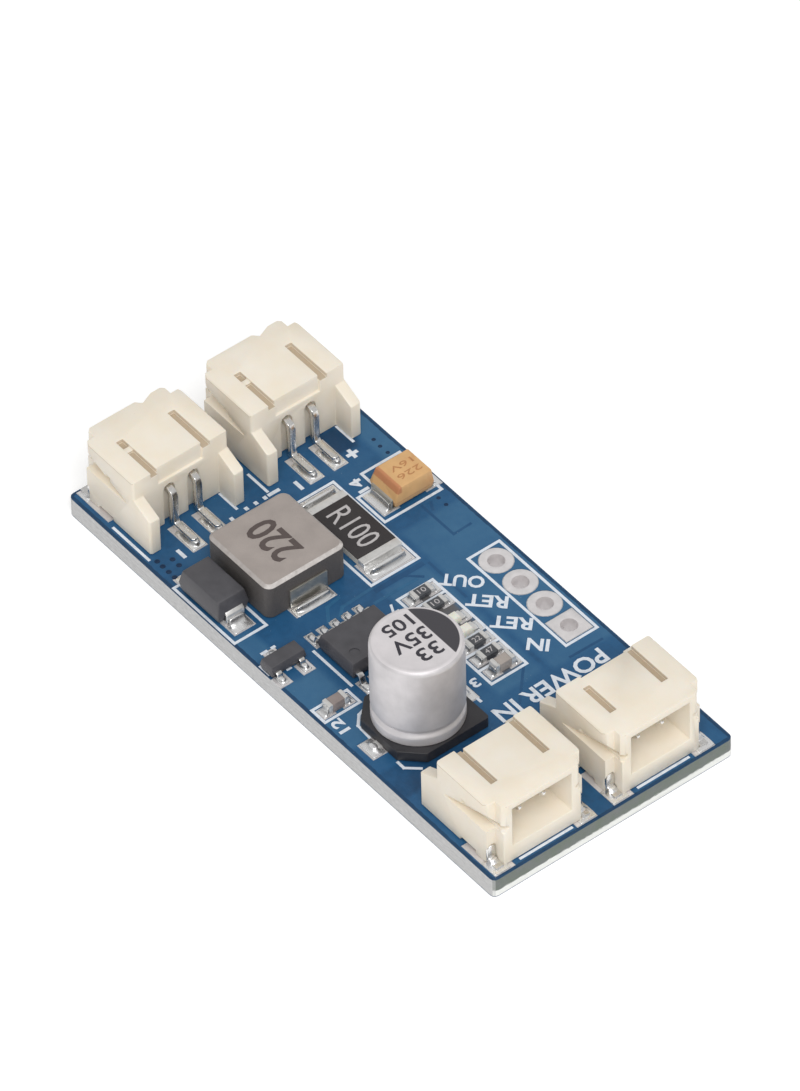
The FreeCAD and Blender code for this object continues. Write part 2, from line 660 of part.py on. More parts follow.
def build_sockets():
    nodes = {}
    # name, rear wall X, row centre Y, facing, pad ahead of the mouth, side in the row, closed and bridged slots
    places = (
        ("output_socket_1", OUTPUT_WALL_X, OUTPUT_ROW_Y, 180.0, OUTPUT_PAD_AHEAD, -1, 0, 1),
        ("output_socket_2", OUTPUT_WALL_X, OUTPUT_ROW_Y, 180.0, OUTPUT_PAD_AHEAD, 1, 0, 1),
        ("input_socket_1", INPUT_WALL_X, INPUT_ROW_Y, 0.0, INPUT_PAD_AHEAD, -1, 0, 0),
        ("input_socket_2", INPUT_WALL_X, INPUT_ROW_Y, 0.0, INPUT_PAD_AHEAD, 1, -1, 0),
    )
    contact = build_contact()
    anchor = build_anchor()
    z = BOARD_TOP + SOCKET_STANDOFF
    for name, wall_x, row_y, facing, pad_ahead, side, closed_slot, bridged_slot in places:
        y = row_y + side * SOCKET_SPACING / 2
        sign = 1.0 if facing == 0.0 else -1.0
        nodes[name + "_housing"] = turned(build_housing(closed_slot, bridged_slot), facing, wall_x, y, z)
        for k, v in enumerate((-CONTACT_PITCH / 2, CONTACT_PITCH / 2)):
            nodes["%s_contact_%d" % (name, k + 1)] = turned(contact, facing, wall_x, y + sign * v, z)
            add_pad(wall_x - sign * (SIGNAL_PAD_END - SIGNAL_PAD[0] / 2), y + v, SIGNAL_PAD[0], SIGNAL_PAD[1])
            pad_x = wall_x + sign * (SOCKET_DEPTH + pad_ahead - ANCHOR_PAD[0] / 2)
            pad_y = y + math.copysign(ANCHOR_PAD_SPACING / 2, v)
            add_pad(pad_x, pad_y, ANCHOR_PAD[0], ANCHOR_PAD[1])
        nodes[name + "_anchor_1"] = turned(mirrored_y(anchor), facing, wall_x, y, z)
        nodes[name + "_anchor_2"] = turned(anchor, facing, wall_x, y, z)
    return nodes


def build_inductor():
    cx, cy = INDUCTOR_CENTRE
    half = INDUCTOR_SIDE / 2
    strap = INDUCTOR_STRAP_THICKNESS
    z0 = INDUCTOR_STANDOFF
    body = centred_box(INDUCTOR_SIDE, INDUCTOR_SIDE, INDUCTOR_HEIGHT - z0, z=z0)
    body = body.makeFillet(INDUCTOR_CORNER_RADIUS, edges_along(body, Vector(0, 0, 1)))
    rim = [e for e in body.Edges if e.BoundBox.ZMin > INDUCTOR_HEIGHT - 1e-4]
    body = body.makeChamfer(INDUCTOR_TOP_CHAMFER, rim)
    path = [
        (half - INDUCTOR_STRAP_RETURN, strap / 2),
        (half + strap / 2, strap / 2),
        (half + strap / 2, INDUCTOR_STRAP_HEIGHT),
    ]
    width = INDUCTOR_STRAP_WIDTH / 2
    terminal = bent_strip(path, [strap], strap, -width, width, SMALL_BEND_FACETS)
    # the strap lies in the body's flat side and bears up against its underside
    seat = box(half - INDUCTOR_STRAP_RETURN - 0.05, half + 1.0, -width - 0.03, width + 0.03, 0.0, strap)
    body = body.cut([seat, mirrored_x(seat), terminal, mirrored_x(terminal)]).removeSplitter()
    pad_pair(INDUCTOR_CENTRE, INDUCTOR_PAD, INDUCTOR_PAD_SPAN)
    return {
        "inductor_body": turned(body, 0, cx, cy, BOARD_TOP),
        "inductor_terminal_1": turned(mirrored_x(terminal), 0, cx, cy, BOARD_TOP),
        "inductor_terminal_2": turned(terminal, 0, cx, cy, BOARD_TOP),
    }


def build_shunt():
    cx, cy = SHUNT_CENTRE
    end = (SHUNT_LENGTH - SHUNT_COAT_LENGTH) / 2
    wrap = SHUNT_END_WRAP
    body = centred_box(SHUNT_COAT_LENGTH, SHUNT_WIDTH, SHUNT_HEIGHT - SHUNT_COAT_THICKNESS - wrap, z=wrap)
    coat = centred_box(SHUNT_COAT_LENGTH, SHUNT_WIDTH, SHUNT_COAT_THICKNESS, z=SHUNT_HEIGHT - SHUNT_COAT_THICKNESS)
    x0 = SHUNT_COAT_LENGTH / 2
    cap = box(x0, x0 + end, -SHUNT_WIDTH / 2, SHUNT_WIDTH / 2, 0.0, SHUNT_HEIGHT)
    outer = [e for e in cap.Edges if e.BoundBox.XMin > x0 + end - 1e-6 and e.BoundBox.ZMin > SHUNT_HEIGHT - 1e-6]
    cap = cap.makeChamfer(SHUNT_COAT_THICKNESS, outer)
    pad_pair(SHUNT_CENTRE, SHUNT_PAD, SHUNT_PAD_SPAN)
    return {
        "sense_resistor_body": turned(body, 0, cx, cy, BOARD_TOP),
        "sense_resistor_coat": turned(coat, 0, cx, cy, BOARD_TOP),
        "sense_resistor_end_1": turned(mirrored_x(cap), 0, cx, cy, BOARD_TOP),
        "sense_resistor_end_2": turned(cap, 0, cx, cy, BOARD_TOP),
    }


def strap_terminal(length, exit_height, thickness, width, back):
    # a strap that leaves the body at its parting line, drops and folds back under it
    out = length / 2 + thickness / 2
    path = [
        (length / 2 - back, thickness / 2),
        (out, thickness / 2),
        (out, exit_height),
        (length / 2 - thickness, exit_height),
    ]
    return bent_strip(path, [thickness, thickness], thickness, -width / 2, width / 2, SMALL_BEND_FACETS)


def strapped_part(body, terminal, angle, centre):
    # the body with its two terminals, cut clear of the straps
    cx, cy = centre
    other = mirrored_x(terminal)
    shell = body.cut([terminal, other]).removeSplitter()
    return [turned(s, angle, cx, cy, BOARD_TOP) for s in (shell, other, terminal)]


def build_tantalum():
    body = moulded_body(
        TANTALUM_LENGTH, TANTALUM_WIDTH, TANTALUM_STANDOFF + TANTALUM_LEAD_THICKNESS, TANTALUM_PARTING,
        TANTALUM_HEIGHT, TANTALUM_BOTTOM_TAPER, TANTALUM_TOP_TAPER, TANTALUM_NOSE_TAPER,
    )
    terminal = strap_terminal(
        TANTALUM_LENGTH, TANTALUM_PARTING, TANTALUM_LEAD_THICKNESS, TANTALUM_LEAD_WIDTH, TANTALUM_LEAD_RETURN
    )
    shell, first, second = strapped_part(body, terminal, 90.0, TANTALUM_CENTRE)
    pad_pair(TANTALUM_CENTRE, TANTALUM_PAD, TANTALUM_PAD_SPAN, 90.0)
    return {
        "tantalum_capacitor_body": shell,
        "tantalum_capacitor_terminal_1": first,
        "tantalum_capacitor_terminal_2": second,
    }


def build_diode():
    body = moulded_body(
        DIODE_LENGTH, DIODE_WIDTH, DIODE_STANDOFF + DIODE_LEAD_THICKNESS, DIODE_PARTING,
        DIODE_HEIGHT, DIODE_BOTTOM_TAPER, DIODE_TOP_TAPER,
    )
    terminal = strap_terminal(
        DIODE_LENGTH, DIODE_PARTING, DIODE_LEAD_THICKNESS, DIODE_LEAD_WIDTH, DIODE_LEAD_RETURN
    )
    shell, first, second = strapped_part(body, terminal, 0.0, DIODE_CENTRE)
    pad_pair(DIODE_CENTRE, DIODE_PAD, DIODE_PAD_SPAN)
    return {"diode_body": shell, "diode_terminal_1": first, "diode_terminal_2": second}


def gull_wing(body_half, span, exit_height, thickness, width):
    # a lead that leaves the body level, drops and ends in a flat foot
    inner = body_half - 0.12
    knee = body_half + (span / 2 - body_half) * 0.34
    heel = body_half + (span / 2 - body_half) * 0.5
    path = [(inner, exit_height), (knee, exit_height), (heel, thickness / 2), (span / 2, thickness / 2)]
    return bent_strip(path, [thickness, thickness], thickness, -width / 2, width / 2, SMALL_BEND_FACETS)


def build_transistor():
    cx, cy = TRANSISTOR_CENTRE
    parting = TRANSISTOR_HEIGHT / 2
    # the body's long axis lies along Y, its leads along X
    body = moulded_body(
        TRANSISTOR_WIDTH, TRANSISTOR_LENGTH, TRANSISTOR_STANDOFF, parting,
        TRANSISTOR_HEIGHT, TRANSISTOR_TAPER, TRANSISTOR_TAPER,
    )
    lead = gull_wing(
        TRANSISTOR_WIDTH / 2, TRANSISTOR_SPAN, parting, TRANSISTOR_LEAD_THICKNESS, TRANSISTOR_LEAD_WIDTH
    )
    leads = [mirrored_x(lead)]
    pad_reach = (TRANSISTOR_PAD_SPAN - TRANSISTOR_PAD[0]) / 2
    add_pad(cx - pad_reach, cy, TRANSISTOR_PAD[0], TRANSISTOR_PAD[1])
    for side in (-1, 1):
        offset = side * TRANSISTOR_LEAD_PITCH / 2
        placed = lead.copy()
        placed.translate(Vector(0, offset, 0))
        leads.append(placed)
        add_pad(cx + pad_reach, cy + offset, TRANSISTOR_PAD[0], TRANSISTOR_PAD[1])
    body = body.cut(leads)
    return {
        "transistor_body": turned(body, 0, cx, cy, BOARD_TOP),
        "transistor_leads": turned(Part.makeCompound(leads), 0, cx, cy, BOARD_TOP),
    }


def build_controller():
    cx, cy = CONTROLLER_CENTRE
    parting = CONTROLLER_STANDOFF + (CONTROLLER_HEIGHT - CONTROLLER_STANDOFF) / 2
    body = moulded_body(
        CONTROLLER_WIDTH, CONTROLLER_LENGTH, CONTROLLER_STANDOFF, parting,
        CONTROLLER_HEIGHT, CONTROLLER_TAPER, CONTROLLER_TAPER,
    )
    inset_x, inset_y = CONTROLLER_DIMPLE_INSET
    dimple = many_sided(
        CONTROLLER_WIDTH / 2 - inset_x, inset_y - CONTROLLER_LENGTH / 2,
        CONTROLLER_HEIGHT - CONTROLLER_DIMPLE_DEPTH, CONTROLLER_HEIGHT + 1.0,
        CONTROLLER_DIMPLE_DIAMETER / 2, DIMPLE_SIDES,
    )
    lead = gull_wing(
        CONTROLLER_WIDTH / 2, CONTROLLER_SPAN, parting, CONTROLLER_LEAD_THICKNESS, CONTROLLER_LEAD_WIDTH
    )
    leads = []
    pad_reach = (CONTROLLER_PAD_SPAN - CONTROLLER_PAD[0]) / 2
    for k in range(CONTROLLER_LEADS_A_SIDE):
        offset = (k - (CONTROLLER_LEADS_A_SIDE - 1) / 2) * CONTROLLER_LEAD_PITCH
        for side in (-1, 1):
            placed = mirrored_x(lead) if side < 0 else lead.copy()
            placed.translate(Vector(0, offset, 0))
            leads.append(placed)
            add_pad(cx + side * pad_reach, cy + offset, CONTROLLER_PAD[0], CONTROLLER_PAD[1])
    body = body.cut([dimple] + leads)
    return {
        "controller_body": turned(body, 0, cx, cy, BOARD_TOP),
        "controller_leads": turned(Part.makeCompound(leads), 0, cx, cy, BOARD_TOP),
    }


def can_profile(radius, seat, top):
    # half section of the drawn can: rounded crown, straight wall, bead and curled foot
    bead = seat + CAN_BEAD_HEIGHT
    waist = radius - CAN_BEAD_DEPTH
    crown = CAN_TOP_RADIUS
    curl = CAN_CURL
    # the bead is a shallow arc through the wall line, cut to its depth at the middle
    bead_radius = (CAN_BEAD_HALF ** 2 + CAN_BEAD_DEPTH ** 2) / (2 * CAN_BEAD_DEPTH)
    bead_centre = waist + bead_radius
    swing = math.degrees(math.asin(CAN_BEAD_HALF / bead_radius))
    outline = [(0.0, seat)]
    outline += arc_points(radius - curl, seat + curl, curl, -90.0, 0.0, CAN_CURL_FACETS)
    outline += arc_points(bead_centre, bead, bead_radius, 180.0 + swing, 180.0 - swing, CAN_BEAD_FACETS)
    outline += arc_points(radius - crown, top - crown, crown, 0.0, 90.0, CAN_CROWN_FACETS)
    outline += [(0.0, top)]
    return face_from([(x, 0.0, z) for x, z in outline])


def build_electrolytic():
    cx, cy = CAN_CENTRE
    radius = CAN_DIAMETER / 2
    half = BASE_SIDE / 2
    can = can_profile(radius, BASE_THICKNESS, CAN_TOP).revolve(Vector(0, 0, 0), Vector(0, 0, 1), 360)
    outline = [
        (-half, half),
        (-half, -half + BASE_CHAMFER),
        (-half + BASE_CHAMFER, -half),
        (half - BASE_CHAMFER, -half),
        (half, -half + BASE_CHAMFER),
        (half, half),
    ]
    base = plan_prism(outline, BASE_STANDOFF, BASE_THICKNESS)
    corners = edges_along(base, Vector(0, 0, 1), lambda m: m.y > 0)
    base = base.makeFillet(BASE_CORNER_RADIUS, corners)
    lead_path_end = half + BASE_LEAD_OUT
    width = BASE_LEAD_WIDTH / 2
    lead = box(-width, width, BASE_LEAD_INNER, lead_path_end, 0.0, BASE_LEAD_THICKNESS)
    toe = edges_along(lead, Vector(0, 0, 1), lambda m: m.y > lead_path_end - 1e-6)
    lead = lead.makeChamfer(BASE_LEAD_THICKNESS / 2, toe)
    gap = BASE_LEAD_CLEARANCE
    channel = box(-width - gap, width + gap, BASE_LEAD_INNER - gap, half + 1.0, -0.5, BASE_LEAD_THICKNESS)
    base = base.cut([channel, mirrored_y(channel)])
    pad_pair(CAN_CENTRE, (BASE_PAD[1], BASE_PAD[0]), BASE_PAD_SPAN, 90.0)
    return {
        "electrolytic_can": turned(can, 0, cx, cy, BOARD_TOP),
        "electrolytic_base": turned(base, 0, cx, cy, BOARD_TOP),
        "electrolytic_lead_1": turned(mirrored_y(lead), 0, cx, cy, BOARD_TOP),
        "electrolytic_lead_2": turned(lead, 0, cx, cy, BOARD_TOP),
    }


def build_chip(kind):
    # body and one end cap, long axis along Y
    height = {
        "resistor": CHIP_RESISTOR_HEIGHT,
        "capacitor": CHIP_CAPACITOR_HEIGHT,
        "lamp": CHIP_LAMP_HEIGHT,
    }[kind]
    skin = CHIP_CAP_SKIN
    inner = CHIP_LENGTH / 2 - CHIP_CAP_LENGTH
    width = CHIP_WIDTH - 2 * skin
    cap_height = CHIP_LAMP_BASE_HEIGHT if kind == "lamp" else height
    if kind == "lamp":
        base = centred_box(width, 2 * inner, CHIP_LAMP_BASE_HEIGHT - skin, z=skin)
        lens = tapered_block(width, 2 * inner, CHIP_LAMP_BASE_HEIGHT, height, 0.0, CHIP_LAMP_LENS_TAPER)
        body = base.fuse(lens).removeSplitter()
    else:
        body = centred_box(width, 2 * inner, height - 2 * skin, z=skin)
    cap = box(-CHIP_WIDTH / 2, CHIP_WIDTH / 2, inner, CHIP_LENGTH / 2, 0.0, cap_height)
    crest = edges_along(
        cap, Vector(1, 0, 0), lambda m: m.z > cap_height - 1e-6 and m.y > CHIP_LENGTH / 2 - 1e-6
    )
    cap = cap.makeChamfer(2 * skin, crest)
    return body, cap


def build_chips():
    nodes = {}
    caps = []
    row_x, row_y = CHIP_ROW_START
    entries = [(name, kind, (row_x + offset, row_y)) for name, kind, offset in CHIP_ROW]
    entries.append(("chip_capacitor_2", "capacitor", EDGE_CHIP_CENTRE))
    for name, kind, (x, y) in entries:
        body, cap = build_chip(kind)
        nodes[name + "_body"] = turned(body, 0, x, y, BOARD_TOP)
        for end in (mirrored_y(cap), cap):
            caps.append(turned(end, 0, x, y, BOARD_TOP))
        pad_pair((x, y), CHIP_PAD, CHIP_PAD_SPAN, 90.0)
    nodes["chip_end_caps"] = Part.makeCompound(caps)
    return nodes


def main():
    os.makedirs("parts", exist_ok=True)
    nodes = {}
    for build in (
        build_sockets, build_inductor, build_shunt, build_tantalum, build_diode,
        build_transistor, build_controller, build_electrolytic, build_chips, build_board,
    ):
        nodes.update(build())
    for name, shape in sorted(nodes.items()):
        if not shape.isValid():
            print("not valid:", name)
        print("%-34s solids %2d  volume %9.3f" % (name, len(shape.Solids), shape.Volume))
        shape.exportStep("parts/%s.step" % name)
    print(len(nodes), "nodes")


main()
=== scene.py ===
"""Dresses the lithium battery charger module with finishes, soft edges, solder and printing."""

import logging
import math
from dataclasses import dataclass, field, replace
from enum import Enum
from functools import reduce
from typing import Callable, Optional, Sequence, Union

import bmesh
import bpy
from mathutils import Matrix, Vector


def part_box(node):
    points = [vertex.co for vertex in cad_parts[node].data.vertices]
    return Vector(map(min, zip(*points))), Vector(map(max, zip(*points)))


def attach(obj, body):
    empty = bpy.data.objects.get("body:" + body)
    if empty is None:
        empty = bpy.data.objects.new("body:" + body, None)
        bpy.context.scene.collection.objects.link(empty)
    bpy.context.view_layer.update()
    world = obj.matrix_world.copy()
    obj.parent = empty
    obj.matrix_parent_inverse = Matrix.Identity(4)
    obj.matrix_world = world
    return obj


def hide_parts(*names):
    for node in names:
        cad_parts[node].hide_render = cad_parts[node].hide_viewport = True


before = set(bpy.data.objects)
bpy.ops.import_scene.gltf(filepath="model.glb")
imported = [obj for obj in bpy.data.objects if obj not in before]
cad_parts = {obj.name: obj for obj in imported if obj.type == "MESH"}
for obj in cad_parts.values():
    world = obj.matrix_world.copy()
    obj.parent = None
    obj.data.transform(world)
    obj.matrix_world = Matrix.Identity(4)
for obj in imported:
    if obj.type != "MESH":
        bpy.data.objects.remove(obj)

logging.basicConfig(level=logging.INFO, format="%(message)s")
log = logging.getLogger("charger_module")

Piece = bpy.types.Object
Edge = bmesh.types.BMEdge
Wire = bpy.types.NodeSocket
Value = Union[Wire, float]
Colour = tuple[float, float, float]
Point = tuple[float, float]
Run = tuple[Point, ...]

MM = 0.001
BOARD_TOP = 1.6
HAIR = 0.0003


def srgb(red: int, green: int, blue: int) -> Colour:
    """Turns a colour of a screen into the linear colour that a shader takes.

    Args:
        red: red part, 0 to 255.
        green: green part, 0 to 255.
        blue: blue part, 0 to 255.

    Returns:
        The three linear parts, 0 to 1.
    """
    shares = (part / 255 for part in (red, green, blue))
    return tuple(share / 12.92 if share <= 0.04045 else ((share + 0.055) / 1.055) ** 2.4 for share in shares)


def shade(colour: Colour, *factors: float) -> Colour:
    """Gives a colour with all its parts times one factor, or each times its own."""
    return tuple(min(1.0, part * factor) for part, factor in zip(colour, factors * 3))


class Facing(Enum):
    """The way that a socket's mouth faces."""

    INPUT = 1
    OUTPUT = -1


def deselect() -> None:
    """Leaves edit mode and deselects everything."""
    if bpy.context.object and bpy.context.object.mode != "OBJECT":
        bpy.ops.object.mode_set(mode="OBJECT")
    bpy.ops.object.select_all(action="DESELECT")


def take(obj: Piece) -> None:
    """Makes one object the only selected and active one.

    Args:
        obj: the object.
    """
    deselect()
    obj.select_set(True)
    bpy.context.view_layer.objects.active = obj


def settle(obj: Piece) -> Piece:
    """Puts an object's place, turn and scale into its mesh.

    Args:
        obj: the object.

    Returns:
        The same object.
    """
    take(obj)
    bpy.ops.object.transform_apply(location=True, rotation=True, scale=True)
    return obj


def open_mesh(obj: Piece, kind: str = "FACE", action: str = "SELECT") -> None:
    """Opens an object in edit mode.

    Args:
        obj: the object.
        kind: the select mode.
        action: whether all is selected or deselected.
    """
    take(obj)
    bpy.ops.object.mode_set(mode="EDIT")
    bpy.ops.mesh.select_mode(type=kind)
    bpy.ops.mesh.select_all(action=action)


def close_mesh() -> None:
    """Goes back to object mode."""
    bpy.ops.object.mode_set(mode="OBJECT")


def close_shell() -> None:
    """Turns the edited mesh's faces outwards and goes back to object mode."""
    bpy.ops.mesh.select_all(action="SELECT")
    bpy.ops.mesh.normals_make_consistent(inside=False)
    close_mesh()


def pick(obj: Piece, kind: str, test: Callable[[Union[bmesh.types.BMFace, Edge]], bool]) -> None:
    """Selects the parts of the edited mesh that pass a test.

    Args:
        obj: the object in edit mode.
        kind: faces or edges.
        test: takes a face or an edge.
    """
    mesh = bmesh.from_edit_mesh(obj.data)
    mesh.normal_update()
    for part in getattr(mesh, kind):
        part.select_set(test(part))
    mesh.select_flush_mode()
    bmesh.update_edit_mesh(obj.data)


def spacing(edge: Edge, other: Edge) -> float:
    """Measures how near two edges of a face come.

    Args:
        edge: the first edge.
        other: the second edge.

    Returns:
        Their distance in millimetres, or the second one's length where they meet.
    """
    if set(edge.verts) & set(other.verts):
        return other.calc_length() / MM
    nearest = math.inf
    for first, second in ((edge, other), (other, edge)):
        start, end = (vert.co for vert in first.verts)
        base, tip = (vert.co for vert in second.verts)
        run = tip - base
        for step in range(5):
            point = start.lerp(end, step / 4)
            share = min(1.0, max(0.0, (point - base).dot(run) / max(run.length_squared, 1e-12)))
            nearest = min(nearest, (point - base - run * share).length)
    return nearest / MM


def roomy(edge: Edge, angle: float, room: float) -> bool:
    """Tells whether a sharp edge has room for a rounding on both of its faces.

    Args:
        edge: the edge.
        angle: the least angle of a sharp edge, in degrees.
        room: how far off every other edge of its faces has to be, in millimetres.

    Returns:
        Whether it has.
    """
    if len(edge.link_faces) != 2 or edge.calc_face_angle() <= math.radians(angle):
        return False
    rest = [other for face in edge.link_faces for other in face.edges if other is not edge]
    return all(spacing(edge, other) > room for other in rest)


def linked(name: str, data: bpy.types.ID) -> Piece:
    """Makes an object of some data and links it to the scene.

    Args:
        name: its name.
        data: its mesh, lamp or camera.

    Returns:
        The object.
    """
    obj = bpy.data.objects.new(name, data)
    bpy.context.scene.collection.objects.link(obj)
    return obj


def plane(length: float, width: float, middle: Point, z: float, turn: float = 0.0) -> Piece:
    """Adds a flat sheet.

    Args:
        length: its length in millimetres.
        width: its width.
        middle: X and Y of its middle.
        z: its height.
        turn: its turn seen from above, in radians.

    Returns:
        The sheet, with its place in its mesh.
    """
    deselect()
    place = (middle[0] * MM, middle[1] * MM, z * MM)
    bpy.ops.mesh.primitive_plane_add(size=1.0, location=place, rotation=(0, 0, turn))
    bpy.context.object.scale = (length * MM, width * MM, 1.0)
    return settle(bpy.context.object)


def strips(runs: Sequence[Run], width: float, z: float) -> list[Piece]:
    """Adds a flat strip along every leg of some runs, each a hair lower than the one before.

    Args:
        runs: the corner points of each run, in millimetres.
        width: the strips' width, half of which they go on past each corner.
        z: the height of the first one.

    Returns:
        The flat strips.
    """
    made = []
    for start, end in (leg for run in runs for leg in zip(run, run[1:])):
        line = Vector(end) - Vector(start)
        middle = (Vector(start) + Vector(end)) / 2
        turn = math.atan2(line.y, line.x)
        made.append(plane(line.length + width, width, middle, z - HAIR * len(made), turn))
    return made


def extrude_up(height: float) -> None:
    """Extrudes the selected faces upwards by a height in millimetres."""
    bpy.ops.mesh.extrude_region_move(TRANSFORM_OT_translate={"value": (0, 0, height * MM)})


def thicken(obj: Piece, height: float) -> None:
    """Gives a flat sheet its height by extruding its faces upwards.

    Args:
        obj: the sheet.
        height: its height in millimetres.
    """
    open_mesh(obj)
    extrude_up(height)
    close_shell()


def join(name: str, parts: Sequence[Piece]) -> Piece:
    """Joins several objects into one.

    Args:
        name: the joined object's name.
        parts: the objects, the first of which is kept.

    Returns:
        The joined object.
    """
    deselect()
    for part in parts:
        part.select_set(True)
    bpy.context.view_layer.objects.active = parts[0]
    if len(parts) > 1:
        bpy.ops.object.join()
    parts[0].name = name
    parts[0].data.name = name
    return parts[0]


def apply(obj: Piece, kind: str, **settings: object) -> None:
    """Adds a modifier and applies it.

    Args:
        obj: the object that gets it.
        kind: the modifier's type.
        settings: its settings.
    """
    take(obj)
    modifier = obj.modifiers.new(kind.lower(), kind)
    for key, value in settings.items():
        setattr(modifier, key, value)
    bpy.ops.object.modifier_apply(modifier=modifier.name)


def smooth(obj: Piece, angle: float) -> None:
    """Shades an object smooth over edges flatter than an angle in degrees."""
    take(obj)
    bpy.ops.object.shade_smooth_by_angle(angle=math.radians(angle))


def lathe(name: str, centre: Point, profile: Sequence[Point], sides: int) -> Piece:
    """Turns a profile round an upright axis by extruding a ring from point to point.

    Args:
        name: the new object's name.
        centre: X and Y of the axis, in millimetres.
        profile: radius and height of each ring, from the bottom up.
        sides: how many sides each ring has.

    Returns:
        The closed turned object.
    """
    deselect()
    radius, height = profile[0]
    place = (centre[0] * MM, centre[1] * MM, height * MM)
    bpy.ops.mesh.primitive_circle_add(vertices=sides, radius=radius * MM, location=place, fill_type="NGON")
    obj = bpy.context.object
    obj.name = name
    open_mesh(settle(obj))
    for next_radius, next_height in profile[1:]:
        ratio = next_radius / radius
        extrude_up(next_height - height)
        pivot = (centre[0] * MM, centre[1] * MM, next_height * MM)
        bpy.ops.transform.resize(value=(ratio, ratio, 1.0), center_override=pivot)
        radius, height = next_radius, next_height
    close_shell()
    return obj


class Nodes:
    """Adds and links the nodes of one material or world."""

    def __init__(self, owner: Union[bpy.types.Material, bpy.types.World]) -> None:
        """Empties a node tree.

        Args:
            owner: the material or world that has it.
        """
        owner.use_nodes = True
        self.tree = owner.node_tree
        self.tree.nodes.clear()

    def feed(self, socket: Wire, value: object) -> None:
        """Links a socket or sets it.

        Args:
            socket: the input.
            value: an output, a number or a colour.
        """
        if isinstance(value, Wire):
            self.tree.links.new(value, socket)
        elif isinstance(value, tuple) and len(value) == 3 and socket.type == "RGBA":
            socket.default_value = (*value, 1.0)
        else:
            socket.default_value = value

    def node(self, kind: str, inputs: dict[Union[str, int], object], **settings: object) -> bpy.types.Node:
        """Adds a node.

        Args:
            kind: its type, after the word ShaderNode.
            inputs: what its inputs get, by name or number.
            settings: its own settings.

        Returns:
            The node.
        """
        node = self.tree.nodes.new("ShaderNode" + kind)
        for key, value in settings.items():
            setattr(node, key, value)
        for key, value in inputs.items():
            self.feed(node.inputs[key], value)
        return node

    def maths(self, operation: str, *values: Value) -> Wire:
        """Adds a maths node over the given values."""
        return self.node("Math", dict(enumerate(values)), operation=operation).outputs[0]


class Graph(Nodes):
    """Writes the shader nodes of one material, with patterns measured in millimetres."""

    def __init__(self, name: str) -> None:
        """Makes an empty material with one principled shader.

        Args:
            name: the material's name.
        """
        super().__init__(bpy.data.materials.new(name))
        self.shader = self.node("BsdfPrincipled", {})
        self.node("OutputMaterial", {"Surface": self.shader.outputs["BSDF"]})
        source = self.node("TexCoord", {})
        self.normal = source.outputs["Normal"]
        scale = {0: source.outputs["Object"], "Scale": 1.0 / MM}
        self.place = self.node("VectorMath", scale, operation="SCALE").outputs[0]

    def set(self, **values: object) -> None:
        """Sets or links inputs of the principled shader, named with underscores."""
        for key, value in values.items():
            self.feed(self.shader.inputs[key.replace("_", " ")], value)

    def plus(self, *values: Value) -> Wire:
        """Adds values up."""
        return reduce(lambda total, value: self.maths("ADD", total, value), values)

    def times(self, *values: Value) -> Wire:
        """Multiplies values with one another."""
        return reduce(lambda total, value: self.maths("MULTIPLY", total, value), values)

    def axes(self, vector: Wire) -> tuple[Wire, ...]:
        """Splits a vector into its X, Y and Z."""
        return tuple(self.node("SeparateXYZ", {0: vector}).outputs)

    def stretched(self, x: float, y: float, z: float) -> Wire:
        """Gives the place stretched by a factor along each axis."""
        return self.node("VectorMath", {0: self.place, 1: (x, y, z)}, operation="MULTIPLY").outputs[0]

    def noise(self, size: float, detail: float = 3.0, place: Optional[Wire] = None) -> Wire:
        """Adds a noise of 0 to 1 whose blotches have a size in millimetres, with some finer layers."""
        inputs = {"Vector": place or self.place, "Scale": 1.0 / size, "Detail": detail}
        return self.node("TexNoise", inputs).outputs["Fac"]

    def attribute(self, name: str) -> Wire:
        """Reads a number that the piece's mesh keeps on its faces."""
        return self.node("Attribute", {}, attribute_name=name).outputs["Fac"]

    def specks(self, size: float) -> Wire:
        """Adds a cell pattern of a size in millimetres, as distance from each cell's middle."""
        return self.node("TexVoronoi", {"Vector": self.place, "Scale": 1.0 / size}).outputs["Distance"]

    def ramp(self, factor: Wire, *stops: tuple[float, Colour]) -> Wire:
        """Turns a value into a colour.

        Args:
            factor: the value.
            stops: values from 0 to 1, each with its colour.

        Returns:
            The colour.
        """
        node = self.node("ValToRGB", {0: factor})
        points = node.color_ramp.elements
        while len(points) < len(stops):
            points.new(0.5)
        for point, (place, colour) in zip(points, stops):
            point.position = place
            point.color = (*colour, 1.0)
        return node.outputs[0]

    def span(self, factor: Wire, low: float, high: float, start: float = 0.3, end: float = 0.7) -> Wire:
        """Maps a value between a start and an end to a range of numbers."""
        inputs = {"Value": factor, "From Min": start, "From Max": end, "To Min": low, "To Max": high}
        return self.node("MapRange", inputs).outputs["Result"]

    def mix(self, factor: Value, first: object, second: object) -> Wire:
        """Mixes two colours by a factor."""
        return self.node("Mix", {0: factor, 6: first, 7: second}, data_type="RGBA").outputs[2]

    def bump(self, height: Wire, depth: float) -> None:
        """Lifts the surface by a height pattern whose depth is in millimetres."""
        node = self.node("Bump", {"Distance": depth * MM, "Height": height})
        self.feed(self.shader.inputs["Normal"], node.outputs["Normal"])


